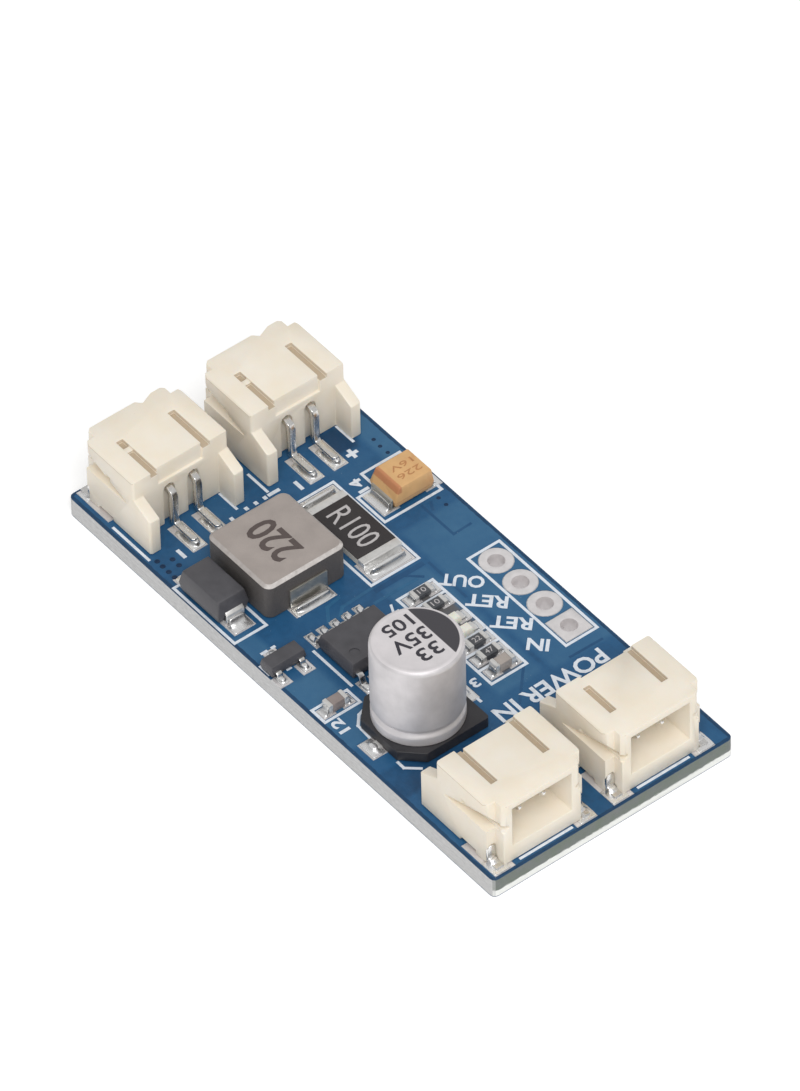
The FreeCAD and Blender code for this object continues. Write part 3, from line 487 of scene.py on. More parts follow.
@dataclass(frozen=True)
class Finish:
    """One finish of the module, built as a material the first time it is used."""

    name: str
    colour: Colour
    roughness: float = 0.5

    def build(self) -> bpy.types.Material:
        """Makes the finish's material once.

        Returns:
            The material.
        """
        label = "finish_" + self.name
        if label not in bpy.data.materials:
            self.paint(Graph(label))
        return bpy.data.materials[label]

    def paint(self, graph: Graph) -> None:
        """Writes the finish's nodes.

        Args:
            graph: the material's graph.
        """
        tone = graph.noise(0.8, 4.0)
        graph.set(
            Base_Color=graph.ramp(tone, (0.3, shade(self.colour, 0.9)), (0.7, shade(self.colour, 1.08))),
            Roughness=graph.span(tone, self.roughness * 0.9, self.roughness * 1.1),
        )
        graph.bump(graph.noise(0.05, 2.0), 0.002)


@dataclass(frozen=True)
class Metal(Finish):
    """Plated or drawn metal with fine streaks and small dull patches."""

    streak: tuple[float, float, float] = (1.0, 1.0, 1.0)
    streak_size: float = 0.12
    relief: float = 0.004
    metal: float = 1.0
    dull: float = 0.1

    def paint(self, graph: Graph) -> None:
        """Writes the metal's nodes.

        Args:
            graph: the material's graph.
        """
        lines = graph.noise(self.streak_size, 4.0, graph.stretched(*self.streak))
        patch = graph.noise(0.7, 3.0)
        rough = graph.plus(graph.span(lines, 0.0, self.dull), graph.span(patch, 0.0, self.dull * 0.6))
        graph.set(
            Base_Color=graph.ramp(lines, (0.25, shade(self.colour, 0.9)), (0.75, shade(self.colour, 1.05))),
            Metallic=self.metal,
            Roughness=graph.plus(rough, self.roughness),
        )
        graph.bump(lines, self.relief)


@dataclass(frozen=True)
class Solder(Finish):
    """Bright reflowed solder with a soft wrinkle, painted shade on its steep flanks and dull rosin stains."""

    metal: float = 0.88
    stain_and_slot_shade: float = 0.8
    # painted shade: share of the colour left on the steep flanks
    flank_shade: float = 0.42

    def paint(self, graph: Graph) -> None:
        """Writes the solder's nodes.

        Args:
            graph: the material's graph.
        """
        wrinkle = graph.noise(0.45, 2.0)
        fine = graph.noise(0.05, 2.0)
        stains = graph.span(graph.noise(0.9, 2.0), 0.0, 0.4, 0.45, 0.75)
        _, _, up = graph.axes(graph.normal)
        # painted shade on the steep flanks, set by the face's slope
        steep = graph.span(up, 0.85, 0.0, 0.5, 0.93)
        body = graph.mix(stains, self.colour, shade(self.colour, self.stain_and_slot_shade))
        rough = graph.span(wrinkle, self.roughness, self.roughness + 0.12)
        graph.set(
            Base_Color=graph.mix(steep, body, shade(self.colour, self.flank_shade)),
            Metallic=self.metal,
            Roughness=graph.plus(graph.span(fine, 0.0, 0.1), rough),
        )
        graph.bump(graph.plus(wrinkle, graph.times(fine, 0.03)), 0.03)


@dataclass(frozen=True)
class Nylon(Finish):
    """Moulded ivory nylon: soft sheen, slight cloudiness, fine spark texture, a few dark specks, painted shade
    in the crown's slots.
    """

    # painted shade: colour of the crown's slots, mixed in by the mark on their faces
    slot_shade: Colour = (0.52, 0.42, 0.3)
    speck: Colour = (0.35, 0.3, 0.24)

    def paint(self, graph: Graph) -> None:
        """Writes the nylon's nodes.

        Args:
            graph: the material's graph.
        """
        cloud = graph.noise(2.4, 3.0)
        spark = graph.noise(0.06, 2.0)
        flow = graph.noise(0.5, 2.0, graph.stretched(1.0, 0.25, 1.0))
        body = graph.ramp(cloud, (0.3, shade(self.colour, 0.97, 0.94, 0.88)), (0.7, self.colour))
        # painted shade in the crown's slots
        shaded = graph.mix(graph.attribute("slot_shade"), body, self.slot_shade)
        dot = graph.span(graph.specks(0.9), 0.35, 0.0, 0.02, 0.035)
        graph.set(
            Base_Color=graph.mix(dot, shaded, self.speck),
            Roughness=graph.span(flow, self.roughness - 0.05, self.roughness + 0.1),
            Subsurface_Weight=0.12,
            Subsurface_Radius=(1.0, 0.7, 0.45),
            Subsurface_Scale=0.0006,
        )
        graph.bump(graph.plus(spark, graph.times(flow, 1.5)), 0.005)


@dataclass(frozen=True)
class Mask(Finish):
    """Blue solder mask: glossy film, lighter over copper areas, dark round the board's edge, with painted
    shadow of output socket 2 and painted shade between the chips.
    """

    deep: Colour = (0.01, 0.05, 0.12)
    light: Colour = (0.05, 0.155, 0.28)
    dust: Colour = (0.3, 0.38, 0.45)
    level: float = 0.35
    soft: float = 0.22
    edge: Point = (22.24, 9.74)
    # zones of X and Y that lighten or darken the mask: most lie over copper areas, one is painted shadow of
    # output socket 2
    zones: tuple[tuple[float, float, float, float, float], ...] = ()
    # painted shade between the chips: a rectangle inside the chip frame that darkens the mask to grey brown
    chip_row_shade: Optional[tuple[float, float, float, float]] = None
    chip_row_shade_colour: Colour = (0.13, 0.12, 0.115)

    def within(
        self, graph: Graph, places: Sequence[Wire], x0: float, x1: float, y0: float, y1: float
    ) -> Wire:
        """Gives 1 inside a rectangle and 0 outside, over a soft edge.

        Args:
            graph: the material's graph.
            places: X and Y in millimetres.
            x0: the rectangle's lowest X.
            x1: its highest X.
            y0: its lowest Y.
            y1: its highest Y.

        Returns:
            The share, 0 to 1.
        """
        shares = []
        for place, low, high in zip(places, (x0, y0), (x1, y1)):
            off = graph.maths("ABSOLUTE", graph.maths("SUBTRACT", place, (low + high) / 2))
            half = (high - low) / 2
            shares.append(graph.span(off, 1.0, 0.0, half - self.soft, half + self.soft))
        return graph.times(*shares)

    def copper(self, graph: Graph) -> Wire:
        """Finds how light the mask is at each place: lighter over the copper areas below it, darker in some
        zones, one of them painted shadow of output socket 2.

        Args:
            graph: the material's graph.

        Returns:
            The level, 0 at the board's edge.
        """
        shake = graph.span(graph.noise(0.4, 2.0), -0.03, 0.03)
        places = [graph.plus(axis, shake) for axis in graph.axes(graph.place)[:2]]
        level: Value = self.level
        for *corners, change in self.zones:
            level = graph.maths("MULTIPLY_ADD", self.within(graph, places, *corners), change, level)
        inside = [graph.maths("COMPARE", axis, 0.0, reach) for axis, reach in zip(places, self.edge)]
        return graph.times(*inside, level)

    def paint(self, graph: Graph) -> None:
        """Writes the mask's nodes.

        Args:
            graph: the material's graph.
        """
        ripple = graph.noise(0.55, 3.0)
        broad = graph.noise(3.0, 3.0)
        grain = graph.noise(0.08, 2.0)
        weave = graph.noise(0.3, 1.0, graph.stretched(1.0, 3.0, 1.0))
        level = self.copper(graph)
        mottle = graph.plus(graph.span(ripple, -0.06, 0.06), graph.span(broad, -0.12, 0.12))
        body = graph.ramp(graph.plus(level, mottle), (0.0, self.deep), (0.35, self.colour), (1.0, self.light))
        # painted shade between the chips, broken up by a broad noise
        if self.chip_row_shade:
            share = self.within(graph, graph.axes(graph.place)[:2], *self.chip_row_shade)
            body = graph.mix(graph.times(share, graph.span(broad, 0.65, 1.0)), body, self.chip_row_shade_colour)
        graph.set(
            Base_Color=graph.mix(graph.span(graph.specks(0.7), 0.5, 0.0, 0.02, 0.05), body, self.dust),
            Roughness=graph.span(grain, self.roughness, self.roughness + 0.14),
            Specular_IOR_Level=0.3,
        )
        graph.bump(graph.plus(ripple, graph.times(weave, 0.4), level), 0.012)


@dataclass(frozen=True)
class Laminate(Finish):
    """Glass laminate: pale sawn long edges with fibre bundles, a darker band at the short ends."""

    olive: Colour = (0.2, 0.22, 0.14)
    resin: Colour = (0.95, 0.96, 0.93)
    seam: Colour = (0.25, 0.24, 0.22)

    def paint(self, graph: Graph) -> None:
        """Writes the laminate's nodes.

        Args:
            graph: the material's graph.
        """
        _, _, height = graph.axes(graph.place)
        across, _, _ = graph.axes(graph.normal)
        fibre = graph.noise(0.14, 4.0, graph.stretched(0.35, 0.35, 1.6))
        fine = graph.noise(0.04, 2.0)
        layer = graph.noise(0.2, 2.0, graph.stretched(0.02, 0.02, 1.0))
        pale = graph.ramp(fibre, (0.25, shade(self.colour, 0.72)), (0.7, self.colour))
        short_end = graph.span(graph.maths("ABSOLUTE", across), 0.0, 1.0, 0.6, 0.8)
        upper = graph.span(graph.plus(height, graph.span(fibre, -0.06, 0.06)), 0.0, 1.0, 0.5, 0.62)
        patch = graph.span(graph.noise(0.9, 2.0), 0.0, 1.0, 0.3, 0.75)
        green = graph.mix(patch, self.olive, shade(self.olive, 0.84, 0.95, 0.76))
        sawn = graph.mix(short_end, pale, graph.mix(upper, self.resin, green))
        graph.set(
            Base_Color=graph.mix(graph.span(layer, 0.0, 0.15, 0.5, 0.7), sawn, self.seam),
            Roughness=graph.span(fine, self.roughness - 0.06, self.roughness + 0.1),
        )
        graph.bump(graph.plus(fibre, fine), 0.02)


@dataclass(frozen=True)
class Composite(Finish):
    """Pressed iron powder with a bound grain, a painted highlight along its rounded rim, strongest on the
    edges facing +X, and darker sides.
    """

    side: Colour = (0.1, 0.09, 0.085)
    # painted highlight colour of the rounded rim
    rim: Colour = (0.72, 0.68, 0.65)

    def paint(self, graph: Graph) -> None:
        """Writes the powder's nodes.

        Args:
            graph: the material's graph.
        """
        across, _, up = graph.axes(graph.normal)
        grain = graph.noise(0.05, 3.0)
        lump = graph.noise(0.35, 4.0)
        dark = shade(self.colour, 0.72)
        top = graph.mix(graph.span(graph.noise(1.6, 2.0), 0.0, 0.5), self.colour, dark)
        speckled = graph.mix(graph.span(grain, 0.0, 0.35, 0.45, 0.7), top, dark)
        body = graph.mix(graph.span(up, 0.0, 1.0, 0.35, 0.85), self.side, speckled)
        # painted highlight on the rounded rim, strongest where it faces +X, broken up by a noise
        rim_highlight = graph.times(
            graph.span(up, 0.0, 1.0, 0.35, 0.6),
            graph.span(up, 1.0, 0.0, 0.85, 0.98),
            graph.span(across, 0.45, 1.0, 0.1, 0.4),
            graph.span(lump, 0.5, 1.0),
        )
        graph.set(
            Base_Color=graph.mix(rim_highlight, body, self.rim),
            Roughness=graph.span(grain, self.roughness - 0.08, self.roughness + 0.08),
        )
        graph.bump(graph.plus(graph.times(lump, 1.4), grain), 0.03)


@dataclass(frozen=True)
class Resin(Finish):
    """Moulded epoxy or fired glaze with a matt, finely grained surface."""

    grain: float = 0.05
    depth: float = 0.006

    def paint(self, graph: Graph) -> None:
        """Writes the resin's nodes.

        Args:
            graph: the material's graph.
        """
        tone = graph.noise(0.9, 4.0)
        fine = graph.noise(self.grain, 3.0)
        light = tuple(min(1.0, part * 1.15 + 0.004) for part in self.colour)
        body = graph.ramp(tone, (0.3, shade(self.colour, 0.85)), (0.7, light))
        graph.set(
            Base_Color=graph.mix(graph.span(fine, 0.0, 0.3), body, light),
            Roughness=graph.span(tone, self.roughness - 0.07, self.roughness + 0.07),
        )
        graph.bump(fine, self.depth)


@dataclass(frozen=True)
class Tantalum(Finish):
    """Orange moulding with a printed polarity stripe at its plus end."""

    stripe: Colour = (0.5, 0.2, 0.1)
    stripe_foot: float = 3.02
    stripe_edge: float = 6.42
    parting: float = 2.3
    # darker orange in blotches towards the +Y end
    far_end_tint: Colour = (0.62, 0.3, 0.12)

    def paint(self, graph: Graph) -> None:
        """Writes the moulding's nodes.

        Args:
            graph: the material's graph.
        """
        _, along, height = graph.axes(graph.place)
        tone = graph.noise(0.7, 4.0)
        fine = graph.noise(0.05, 3.0)
        clean = graph.ramp(tone, (0.3, shade(self.colour, 0.9)), (0.7, self.colour))
        blotch = graph.span(graph.noise(0.9, 2.0), 0.0, 1.0, 0.45, 0.6)
        at_back = graph.span(along, 0.0, 0.6, 7.9, 9.0)
        # darker orange blotches towards the +Y end
        body = graph.mix(graph.times(at_back, blotch), clean, self.far_end_tint)
        shake = graph.span(fine, -0.03, 0.03)
        edge, foot = self.stripe_edge, self.stripe_foot
        at_end = graph.span(graph.plus(along, shake), 1.0, 0.0, edge - 0.04, edge + 0.04)
        high = graph.span(graph.plus(height, shake), 0.0, 1.0, foot - 0.03, foot + 0.03)
        seam = graph.times(graph.maths("COMPARE", height, self.parting, 0.045), 0.4)
        graph.set(
            Base_Color=graph.mix(graph.plus(graph.times(at_end, high, 0.85), seam), body, self.stripe),
            Roughness=graph.span(tone, self.roughness - 0.06, self.roughness + 0.08),
        )
        graph.bump(graph.plus(fine, tone), 0.008)


@dataclass(frozen=True)
class CanMetal(Finish):
    """Drawn aluminium can: satin wall, lighter top with a printed dark segment."""

    ink: Colour = (0.055, 0.052, 0.06)
    crown: Colour = (0.84, 0.8, 0.81)
    chord: float = -3.62
    centre: Point = (8.35, -4.87)
    top: float = 9.3
    metal: float = 0.46
    printed_radius: float = 2.8

    def paint(self, graph: Graph) -> None:
        """Writes the can's nodes.

        Args:
            graph: the material's graph.
        """
        across, along, height = graph.axes(graph.place)
        offs = [graph.maths("SUBTRACT", axis, middle) for axis, middle in zip((across, along), self.centre)]
        radius = graph.maths("SQRT", graph.plus(*(graph.times(off, off) for off in offs)))
        on_top = graph.span(height, 0.0, 1.0, self.top - 0.08, self.top - 0.06)
        inside = graph.span(radius, 1.0, 0.0, self.printed_radius - 0.02, self.printed_radius + 0.02)
        beyond = graph.span(along, 0.0, 1.0, self.chord - 0.02, self.chord + 0.02)
        printed = graph.times(on_top, inside, beyond)
        draw = graph.noise(0.06, 3.0, graph.stretched(1.0, 1.0, 0.04))
        cloud = graph.noise(1.2, 3.0)
        dark = shade(self.colour, 0.9)
        wall = graph.mix(graph.span(cloud, 0.0, 1.0), shade(self.colour, 1.05), dark)
        body = graph.mix(on_top, wall, graph.mix(graph.span(cloud, 0.0, 0.4), self.crown, dark))
        satin = graph.span(draw, self.roughness, self.roughness + 0.12)
        graph.set(
            Base_Color=graph.mix(printed, body, self.ink),
            Metallic=graph.span(printed, self.metal, 0.0, 0.0, 1.0),
            Roughness=graph.plus(satin, graph.times(printed, 0.15)),
        )
        graph.bump(graph.plus(draw, graph.noise(0.04, 2.0)), 0.003)


@dataclass(frozen=True)
class Ink(Finish):
    """Screen-printed ink with a slightly broken, chalky film."""

    def paint(self, graph: Graph) -> None:
        """Writes the ink's nodes.

        Args:
            graph: the material's graph.
        """
        fine = graph.noise(0.04, 3.0)
        film = graph.noise(0.35, 4.0)
        graph.set(
            Base_Color=graph.ramp(film, (0.25, shade(self.colour, 0.82)), (0.5, self.colour)),
            Roughness=graph.span(fine, self.roughness - 0.08, self.roughness + 0.12),
        )
        graph.bump(fine, 0.006)


@dataclass(frozen=True)
class Lens(Finish):
    """Cast lamp resin, milky and slightly clear, with a soft gloss."""

    def paint(self, graph: Graph) -> None:
        """Writes the lamp resin's nodes.

        Args:
            graph: the material's graph.
        """
        cloud = graph.noise(0.3, 3.0)
        graph.set(
            Base_Color=graph.ramp(cloud, (0.3, shade(self.colour, 0.98, 0.95, 0.88)), (0.7, self.colour)),
            Roughness=graph.span(graph.noise(0.05, 2.0), self.roughness, self.roughness + 0.1),
            Subsurface_Weight=0.15,
            Subsurface_Scale=0.0002,
        )
        graph.bump(cloud, 0.006)


@dataclass(frozen=True)
class Finishes:
    """Every finish of the module, by its place in the record or its use here."""

    mask: Finish = Mask(
        "blue_mask",
        (0.02, 0.1, 0.225),
        0.3,
        zones=(
            (-16.0, -11.7, 8.3, 10.4, 0.45),
            # painted shadow of output socket 2 on the mask beside its pads
            (-16.2, -14.0, 5.9, 7.9, -0.25),
            (-5.75, 10.3, 4.9, 10.4, 0.35),
            (-2.4, 9.9, 0.6, 4.3, 0.35),
            (-5.2, -2.4, -10.4, -8.3, 0.4),
            (0.4, 7.5, -10.4, -7.0, 0.4),
            (10.4, 13.2, -10.4, -2.5, -0.2),
        ),
        # rectangle of painted shade between the chips
        chip_row_shade=(-0.85, 8.6, 1.1, 3.6),
    )
    mask_gap: Finish = Mask("dark_mask", (0.016, 0.08, 0.19), 0.28)
    mask_trace: Finish = Mask("light_mask", (0.03, 0.13, 0.26), 0.28)
    # painted shade: the near-black film over the vias stands for their holes
    via_hole_shade: Finish = Mask("via_hole_shade", (0.006, 0.03, 0.08), 0.35, (0.004, 0.02, 0.05), (0.01, 0.04, 0.1))
    laminate: Finish = Laminate("glass_laminate", srgb(216, 216, 216), 0.62, srgb(118, 123, 122))
    nylon: Finish = Nylon("ivory_nylon", srgb(243, 235, 221), 0.4)
    tin: Finish = Metal("tinned_contact", (0.78, 0.77, 0.75), 0.16, (1.0, 1.0, 0.3), 0.2, 0.0015)
    terminal: Finish = Metal("tinned_terminal", (0.8, 0.79, 0.77), 0.24, (1.0, 1.0, 1.0), 0.3, 0.003, 0.7)
    land: Finish = Metal("tinned_land", (0.84, 0.81, 0.81), 0.26, (1.0, 1.0, 1.0), 0.5, 0.004, 0.5)
    # painted reflection: the straps' dark brownish tone stands for what they reflect
    strap: Finish = Metal("inductor_strap", (0.5, 0.48, 0.43), 0.25, (1.0, 1.0, 0.4), 0.4, 0.003, 0.85)
    solder: Finish = Solder("reflowed_solder", (0.93, 0.93, 0.93), 0.16)
    composite: Finish = Composite("iron_powder", srgb(172, 162, 156), 0.5)
    coat: Finish = Resin("matt_black_coat", srgb(48, 44, 45), 0.62, 0.09, 0.012)
    alumina: Finish = Finish("white_alumina", srgb(225, 220, 208), 0.6)
    orange: Finish = Tantalum("orange_resin", srgb(224, 178, 122), 0.45, srgb(190, 122, 84))
    black_resin: Finish = Resin("black_resin", srgb(75, 74, 78), 0.5, 0.05, 0.008)
    can: Finish = CanMetal("drawn_can", (0.68, 0.655, 0.665), 0.42)
    black_base: Finish = Resin("black_base", srgb(42, 41, 44), 0.42, 0.08, 0.006)
    chip_black: Finish = Resin("chip_glaze", srgb(74, 76, 80), 0.3, 0.08, 0.005)
    chip_pale: Finish = Resin("pale_ceramic", srgb(168, 159, 152), 0.35, 0.08, 0.006)
    chip_brown: Finish = Resin("chip_ceramic", srgb(143, 131, 127), 0.35, 0.08, 0.006)
    lens: Finish = Lens("lamp_resin", srgb(238, 238, 230), 0.25)
    ink: Finish = Ink("white_print", srgb(226, 232, 240), 0.5)
    pale_ink: Finish = Ink("pale_print", srgb(192, 188, 188), 0.5)
    dark_ink: Finish = Ink("dark_print", srgb(86, 75, 72), 0.5)
    can_ink: Finish = Ink("can_print", srgb(52, 50, 58), 0.45)
    faint_ink: Finish = Ink("faint_print", srgb(188, 132, 84), 0.5)


FINISH = Finishes()


def dress(obj: Piece, finish: Finish) -> None:
    """Gives an object one finish on its only material slot."""
    obj.data.materials.clear()
    obj.data.materials.append(finish.build())


def deliver(obj: Piece, finish: Finish, stands_for: Optional[str] = None) -> None:
    """Dresses a finished piece, lets it ride and reports it.

    Args:
        obj: the piece.
        finish: its finish.
        stands_for: the CAD node that it replaces, if any.
    """
    dress(obj, finish)
    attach(obj, "root")
    if stands_for:
        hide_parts(stands_for)
    log.info("%s: %d faces", obj.name, len(obj.data.polygons))


def node_box(node: str) -> tuple[Vector, Vector]:
    """Gives a node's lowest and highest corner in millimetres."""
    low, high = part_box(node)
    return low / MM, high / MM


@dataclass
class SoftEdges:
    """Copies CAD nodes with the small rounding that moulded and plated edges have."""

    suffix: str = "_soft"
    room: float = 1.9
    flat: float = 1.0
    shading: float = 40.0

    def copy(
        self, node: str, finish: Finish, slot: str, width: float, segments: int = 2, angle: float = 30.0
    ) -> Piece:
        """Makes one softened copy that stands for a node.

        Args:
            node: the CAD node's name.
            finish: the copy's finish.
            slot: the record's material slot; not used.
            width: the rounding's width in millimetres.
            segments: its segments.
            angle: the least angle of a rounded edge, in degrees.

        Returns:
            The finished piece.
        """
        obj = linked(node + self.suffix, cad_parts[node].data.copy())
        open_mesh(obj, "VERT")
        bpy.ops.mesh.remove_doubles(threshold=1e-6)
        bpy.ops.mesh.dissolve_limited(angle_limit=math.radians(self.flat))
        bpy.ops.mesh.select_mode(type="EDGE")
        bpy.ops.mesh.select_all(action="DESELECT")
        pick(obj, "edges", lambda edge: roomy(edge, angle, width * self.room))
        bpy.ops.transform.edge_bevelweight(value=1.0)
        close_mesh()
        if obj.data.has_custom_normals:
            bpy.ops.mesh.customdata_custom_splitnormals_clear()
        rounding = {"width": width * MM, "segments": segments}
        apply(obj, "BEVEL", **rounding, limit_method="WEIGHT", use_clamp_overlap=False)
        smooth(obj, self.shading)
        deliver(obj, finish, node)
        return obj


SOFT = SoftEdges()


@dataclass(frozen=True)
class Bead:
    """The sizes in millimetres of one solder fillet at a terminal's foot.

    It reaches back under the terminal's face and ahead of it, and stands out past its two
    sides. Its crest keeps a share of its length and of its width, and leans along the foot
    by a share of half its length.
    """

    back: float
    ahead: float
    side: float
    height: float
    keep: Point
    lean: float


@dataclass
class SolderWork:
    """Models solder fillets and gathers them into one piece for each sub-assembly."""

    name: str
    spread: tuple[float, ...] = (0.9, 0.84, 0.82, 0.86)
    rise: tuple[float, ...] = (0.1, 0.2, 0.32, 0.38)
    film: float = 0.03
    crease: float = 0.8
    parts: list[Piece] = field(default_factory=list)

    def lay(self, bead: Bead, face: float, side: int, sides: Point, along_y: bool = False) -> None:
        """Lays one fillet.

        Args:
            bead: its sizes.
            face: where the terminal's face stands on the axis that its foot runs along.
            side: which way the foot runs on that axis, 1 or -1.
            sides: the terminal's lowest and highest place on the other axis.
            along_y: whether the foot runs along Y.
        """
        length = sorted((face - side * bead.back, face + side * bead.ahead))
        width = (sides[0] - bead.side, sides[1] + bead.side)
        axes = [(length, bead.keep[0], side * bead.lean), (width, bead.keep[1], 0.0)]
        if along_y:
            axes.reverse()
        (xs, keep_x, lean_x), (ys, keep_y, lean_y) = axes
        low = Vector((xs[0], ys[0], BOARD_TOP))
        high = Vector((xs[1], ys[1], BOARD_TOP + self.film))
        middle = (low + high) / 2
        pivot = middle + Vector((lean_x, lean_y, 0.0)) * (high - low) / 2
        deselect()
        bpy.ops.mesh.primitive_cube_add(size=1.0, location=middle * MM)
        base = bpy.context.object
        base.scale = (high - low) * MM
        open_mesh(settle(base), action="DESELECT")
        pick(base, "faces", lambda face: face.normal.z > 0.9)
        total = math.log(math.prod(self.spread))
        for spread, rise in zip(self.spread, self.rise):
            part = math.log(spread) / total
            extrude_up(bead.height * rise)
            bpy.ops.transform.resize(value=(keep_x**part, keep_y**part, 1.0), center_override=pivot * MM)
        bpy.ops.mesh.select_mode(type="EDGE")
        foot = (BOARD_TOP + self.film) * MM + 5e-6
        pick(base, "edges", lambda edge: all(vert.co.z < foot for vert in edge.verts))
        bpy.ops.transform.edge_crease(value=self.crease)
        close_mesh()
        apply(base, "SUBSURF", levels=2, render_levels=2)
        self.parts.append(base)

    def finish(self) -> None:
        """Joins the fillets and delivers them as one piece."""
        piece = join(self.name, self.parts)
        smooth(piece, 180.0)
        deliver(piece, FINISH.solder)


@dataclass
class Socket:
    """One two-way side-entry socket with its contacts, anchor tabs and solder."""

    name: str
    facing: Facing
    housing_round: float = 0.06
    contact_round: float = 0.07
    anchor_round: float = 0.035
    slot_depth: float = 0.38
    last_solder: float = 22.2
    contact_bead: Bead = Bead(back=0.4, ahead=1.75, side=0.55, height=0.34, keep=(0.86, 0.5), lean=0.1)
    anchor_bead: Bead = Bead(back=0.1, ahead=1.45, side=0.68, height=0.42, keep=(0.3, 0.45), lean=-0.75)

    def stain_and_slot_shade(self, housing: Piece) -> None:
        """Marks the faces of the crown's slots for painted shade: the floors fully, the walls at 0.6.

        Args:
            housing: the housing's softened copy.
        """
        top = node_box(self.name + "_housing")[1].z
        mark = housing.data.attributes.new("slot_shade", "FLOAT", "FACE")
        for face in housing.data.polygons:
            depth = top - face.center.z / MM
            # the slots' floors and walls get painted shade
            floor = abs(depth - self.slot_depth) < 0.03 and face.normal.z > 0.8
            wall = 0.04 < depth < self.slot_depth and abs(face.normal.z) < 0.3
            mark.data[face.index].value = 1.0 if floor else (0.6 if wall else 0.0)
        log.info("%s: %d slot faces stained", self.name, sum(entry.value > 0.5 for entry in mark.data))

    def metal(self, kind: str, index: int, width: float, segments: int) -> tuple[float, Point]:
        """Softens one contact or anchor tab.

        Args:
            kind: contact or anchor.
            index: its number.
            width: the rounding's width in millimetres.
            segments: its segments.

        Returns:
            The X of its rear end, and the Y of its middle twice.
        """
        node = "%s_%s_%d" % (self.name, kind, index)
        SOFT.copy(node, FINISH.tin, "tinned_contact", width, segments)
        low, high = node_box(node)
        middle = (low.y + high.y) / 2
        return (low.x if self.facing is Facing.INPUT else high.x), (middle, middle)

    def build(self) -> None:
        """Builds the socket's pieces."""
        self.stain_and_slot_shade(SOFT.copy(self.name + "_housing", FINISH.nylon, "ivory_nylon", self.housing_round))
        solder = SolderWork(self.name + "_solder")
        sign = self.facing.value
        for index in (1, 2):
            rear, middle = self.metal("contact", index, self.contact_round, 3)
            solder.lay(self.contact_bead, rear, sign, middle)
            rear, middle = self.metal("anchor", index, self.anchor_round, 2)
            reach = min(self.anchor_bead.ahead, self.last_solder - abs(rear))
            solder.lay(replace(self.anchor_bead, ahead=reach), rear, sign, middle)
        solder.finish()


@dataclass
class StrapPart:
    """A body with one metal terminal at each end, and its solder."""

    name: str
    finish: Finish
    slot: str
    strap: Finish
    edge_round: float
    strap_round: float
    bead: Bead
    segments: int = 3
    angle: float = 30.0
    body: str = "body"
    end: str = "terminal"
    along_y: bool = False

    def build(self) -> None:
        """Builds the body, its terminals and their solder."""
        body = "%s_%s" % (self.name, self.body)
        SOFT.copy(body, self.finish, self.slot, self.edge_round, self.segments, self.angle)
        solder = SolderWork(self.name + "_solder")
        axis = 1 if self.along_y else 0
        for index, side in ((1, -1), (2, 1)):
            node = "%s_%s_%d" % (self.name, self.end, index)
            SOFT.copy(node, self.strap, "tinned_terminal", self.strap_round)
            low, high = node_box(node)
            face = low[axis] if side < 0 else high[axis]
            solder.lay(self.bead, face, side, (low[1 - axis], high[1 - axis]), self.along_y)
        solder.finish()


@dataclass
class Inductor(StrapPart):
    """Moulded power inductor between two bent straps."""

    name: str = "inductor"
    finish: Finish = FINISH.composite
    slot: str = "grey_composite"
    strap: Finish = FINISH.strap
    edge_round: float = 0.26
    strap_round: float = 0.04
    bead: Bead = Bead(back=0.06, ahead=0.86, side=0.05, height=0.42, keep=(0.3, 0.92), lean=-0.1)
    segments: int = 4
    angle: float = 35.0


@dataclass
class SenseResistor(StrapPart):
    """Current sense resistor: ceramic body under a black coat, between two plated ends."""

    name: str = "sense_resistor"
    finish: Finish = FINISH.coat
    slot: str = "black_coat"
    strap: Finish = FINISH.terminal
    edge_round: float = 0.02
    strap_round: float = 0.035
    bead: Bead = Bead(back=0.05, ahead=1.1, side=0.08, height=0.5, keep=(0.25, 0.88), lean=0.05)
    segments: int = 2
    body: str = "coat"
    end: str = "end"

    def build(self) -> None:
        """Builds the resistor and dresses its ceramic body."""
        super().build()
        dress(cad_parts["sense_resistor_body"], FINISH.alumina)


@dataclass
class TantalumCapacitor(StrapPart):
    """Moulded tantalum capacitor between two bent straps."""

    name: str = "tantalum_capacitor"
    finish: Finish = FINISH.orange
    slot: str = "orange_resin"
    strap: Finish = FINISH.strap
    edge_round: float = 0.1
    strap_round: float = 0.04
    bead: Bead = Bead(back=0.04, ahead=0.66, side=0.06, height=0.55, keep=(0.16, 0.88), lean=-0.95)
    along_y: bool = True


@dataclass
class Diode(StrapPart):
    """Moulded rectifier diode between two bent straps."""

    name: str = "diode"
    finish: Finish = FINISH.black_resin
    slot: str = "black_resin"
    strap: Finish = FINISH.terminal
    edge_round: float = 0.1
    strap_round: float = 0.06
    bead: Bead = Bead(back=0.04, ahead=0.9, side=0.06, height=0.6, keep=(0.16, 0.88), lean=-0.95)


@dataclass
class CanFoot(StrapPart):
    """Black base plate of the can capacitor with its two leads."""

    name: str = "electrolytic"
    finish: Finish = FINISH.black_base
    slot: str = "black_base"
    strap: Finish = FINISH.terminal
    edge_round: float = 0.07
    strap_round: float = 0.04
    bead: Bead = Bead(back=0.5, ahead=0.5, side=0.45, height=0.26, keep=(0.5, 0.4), lean=-0.4)
    body: str = "base"
    end: str = "lead"
    along_y: bool = True


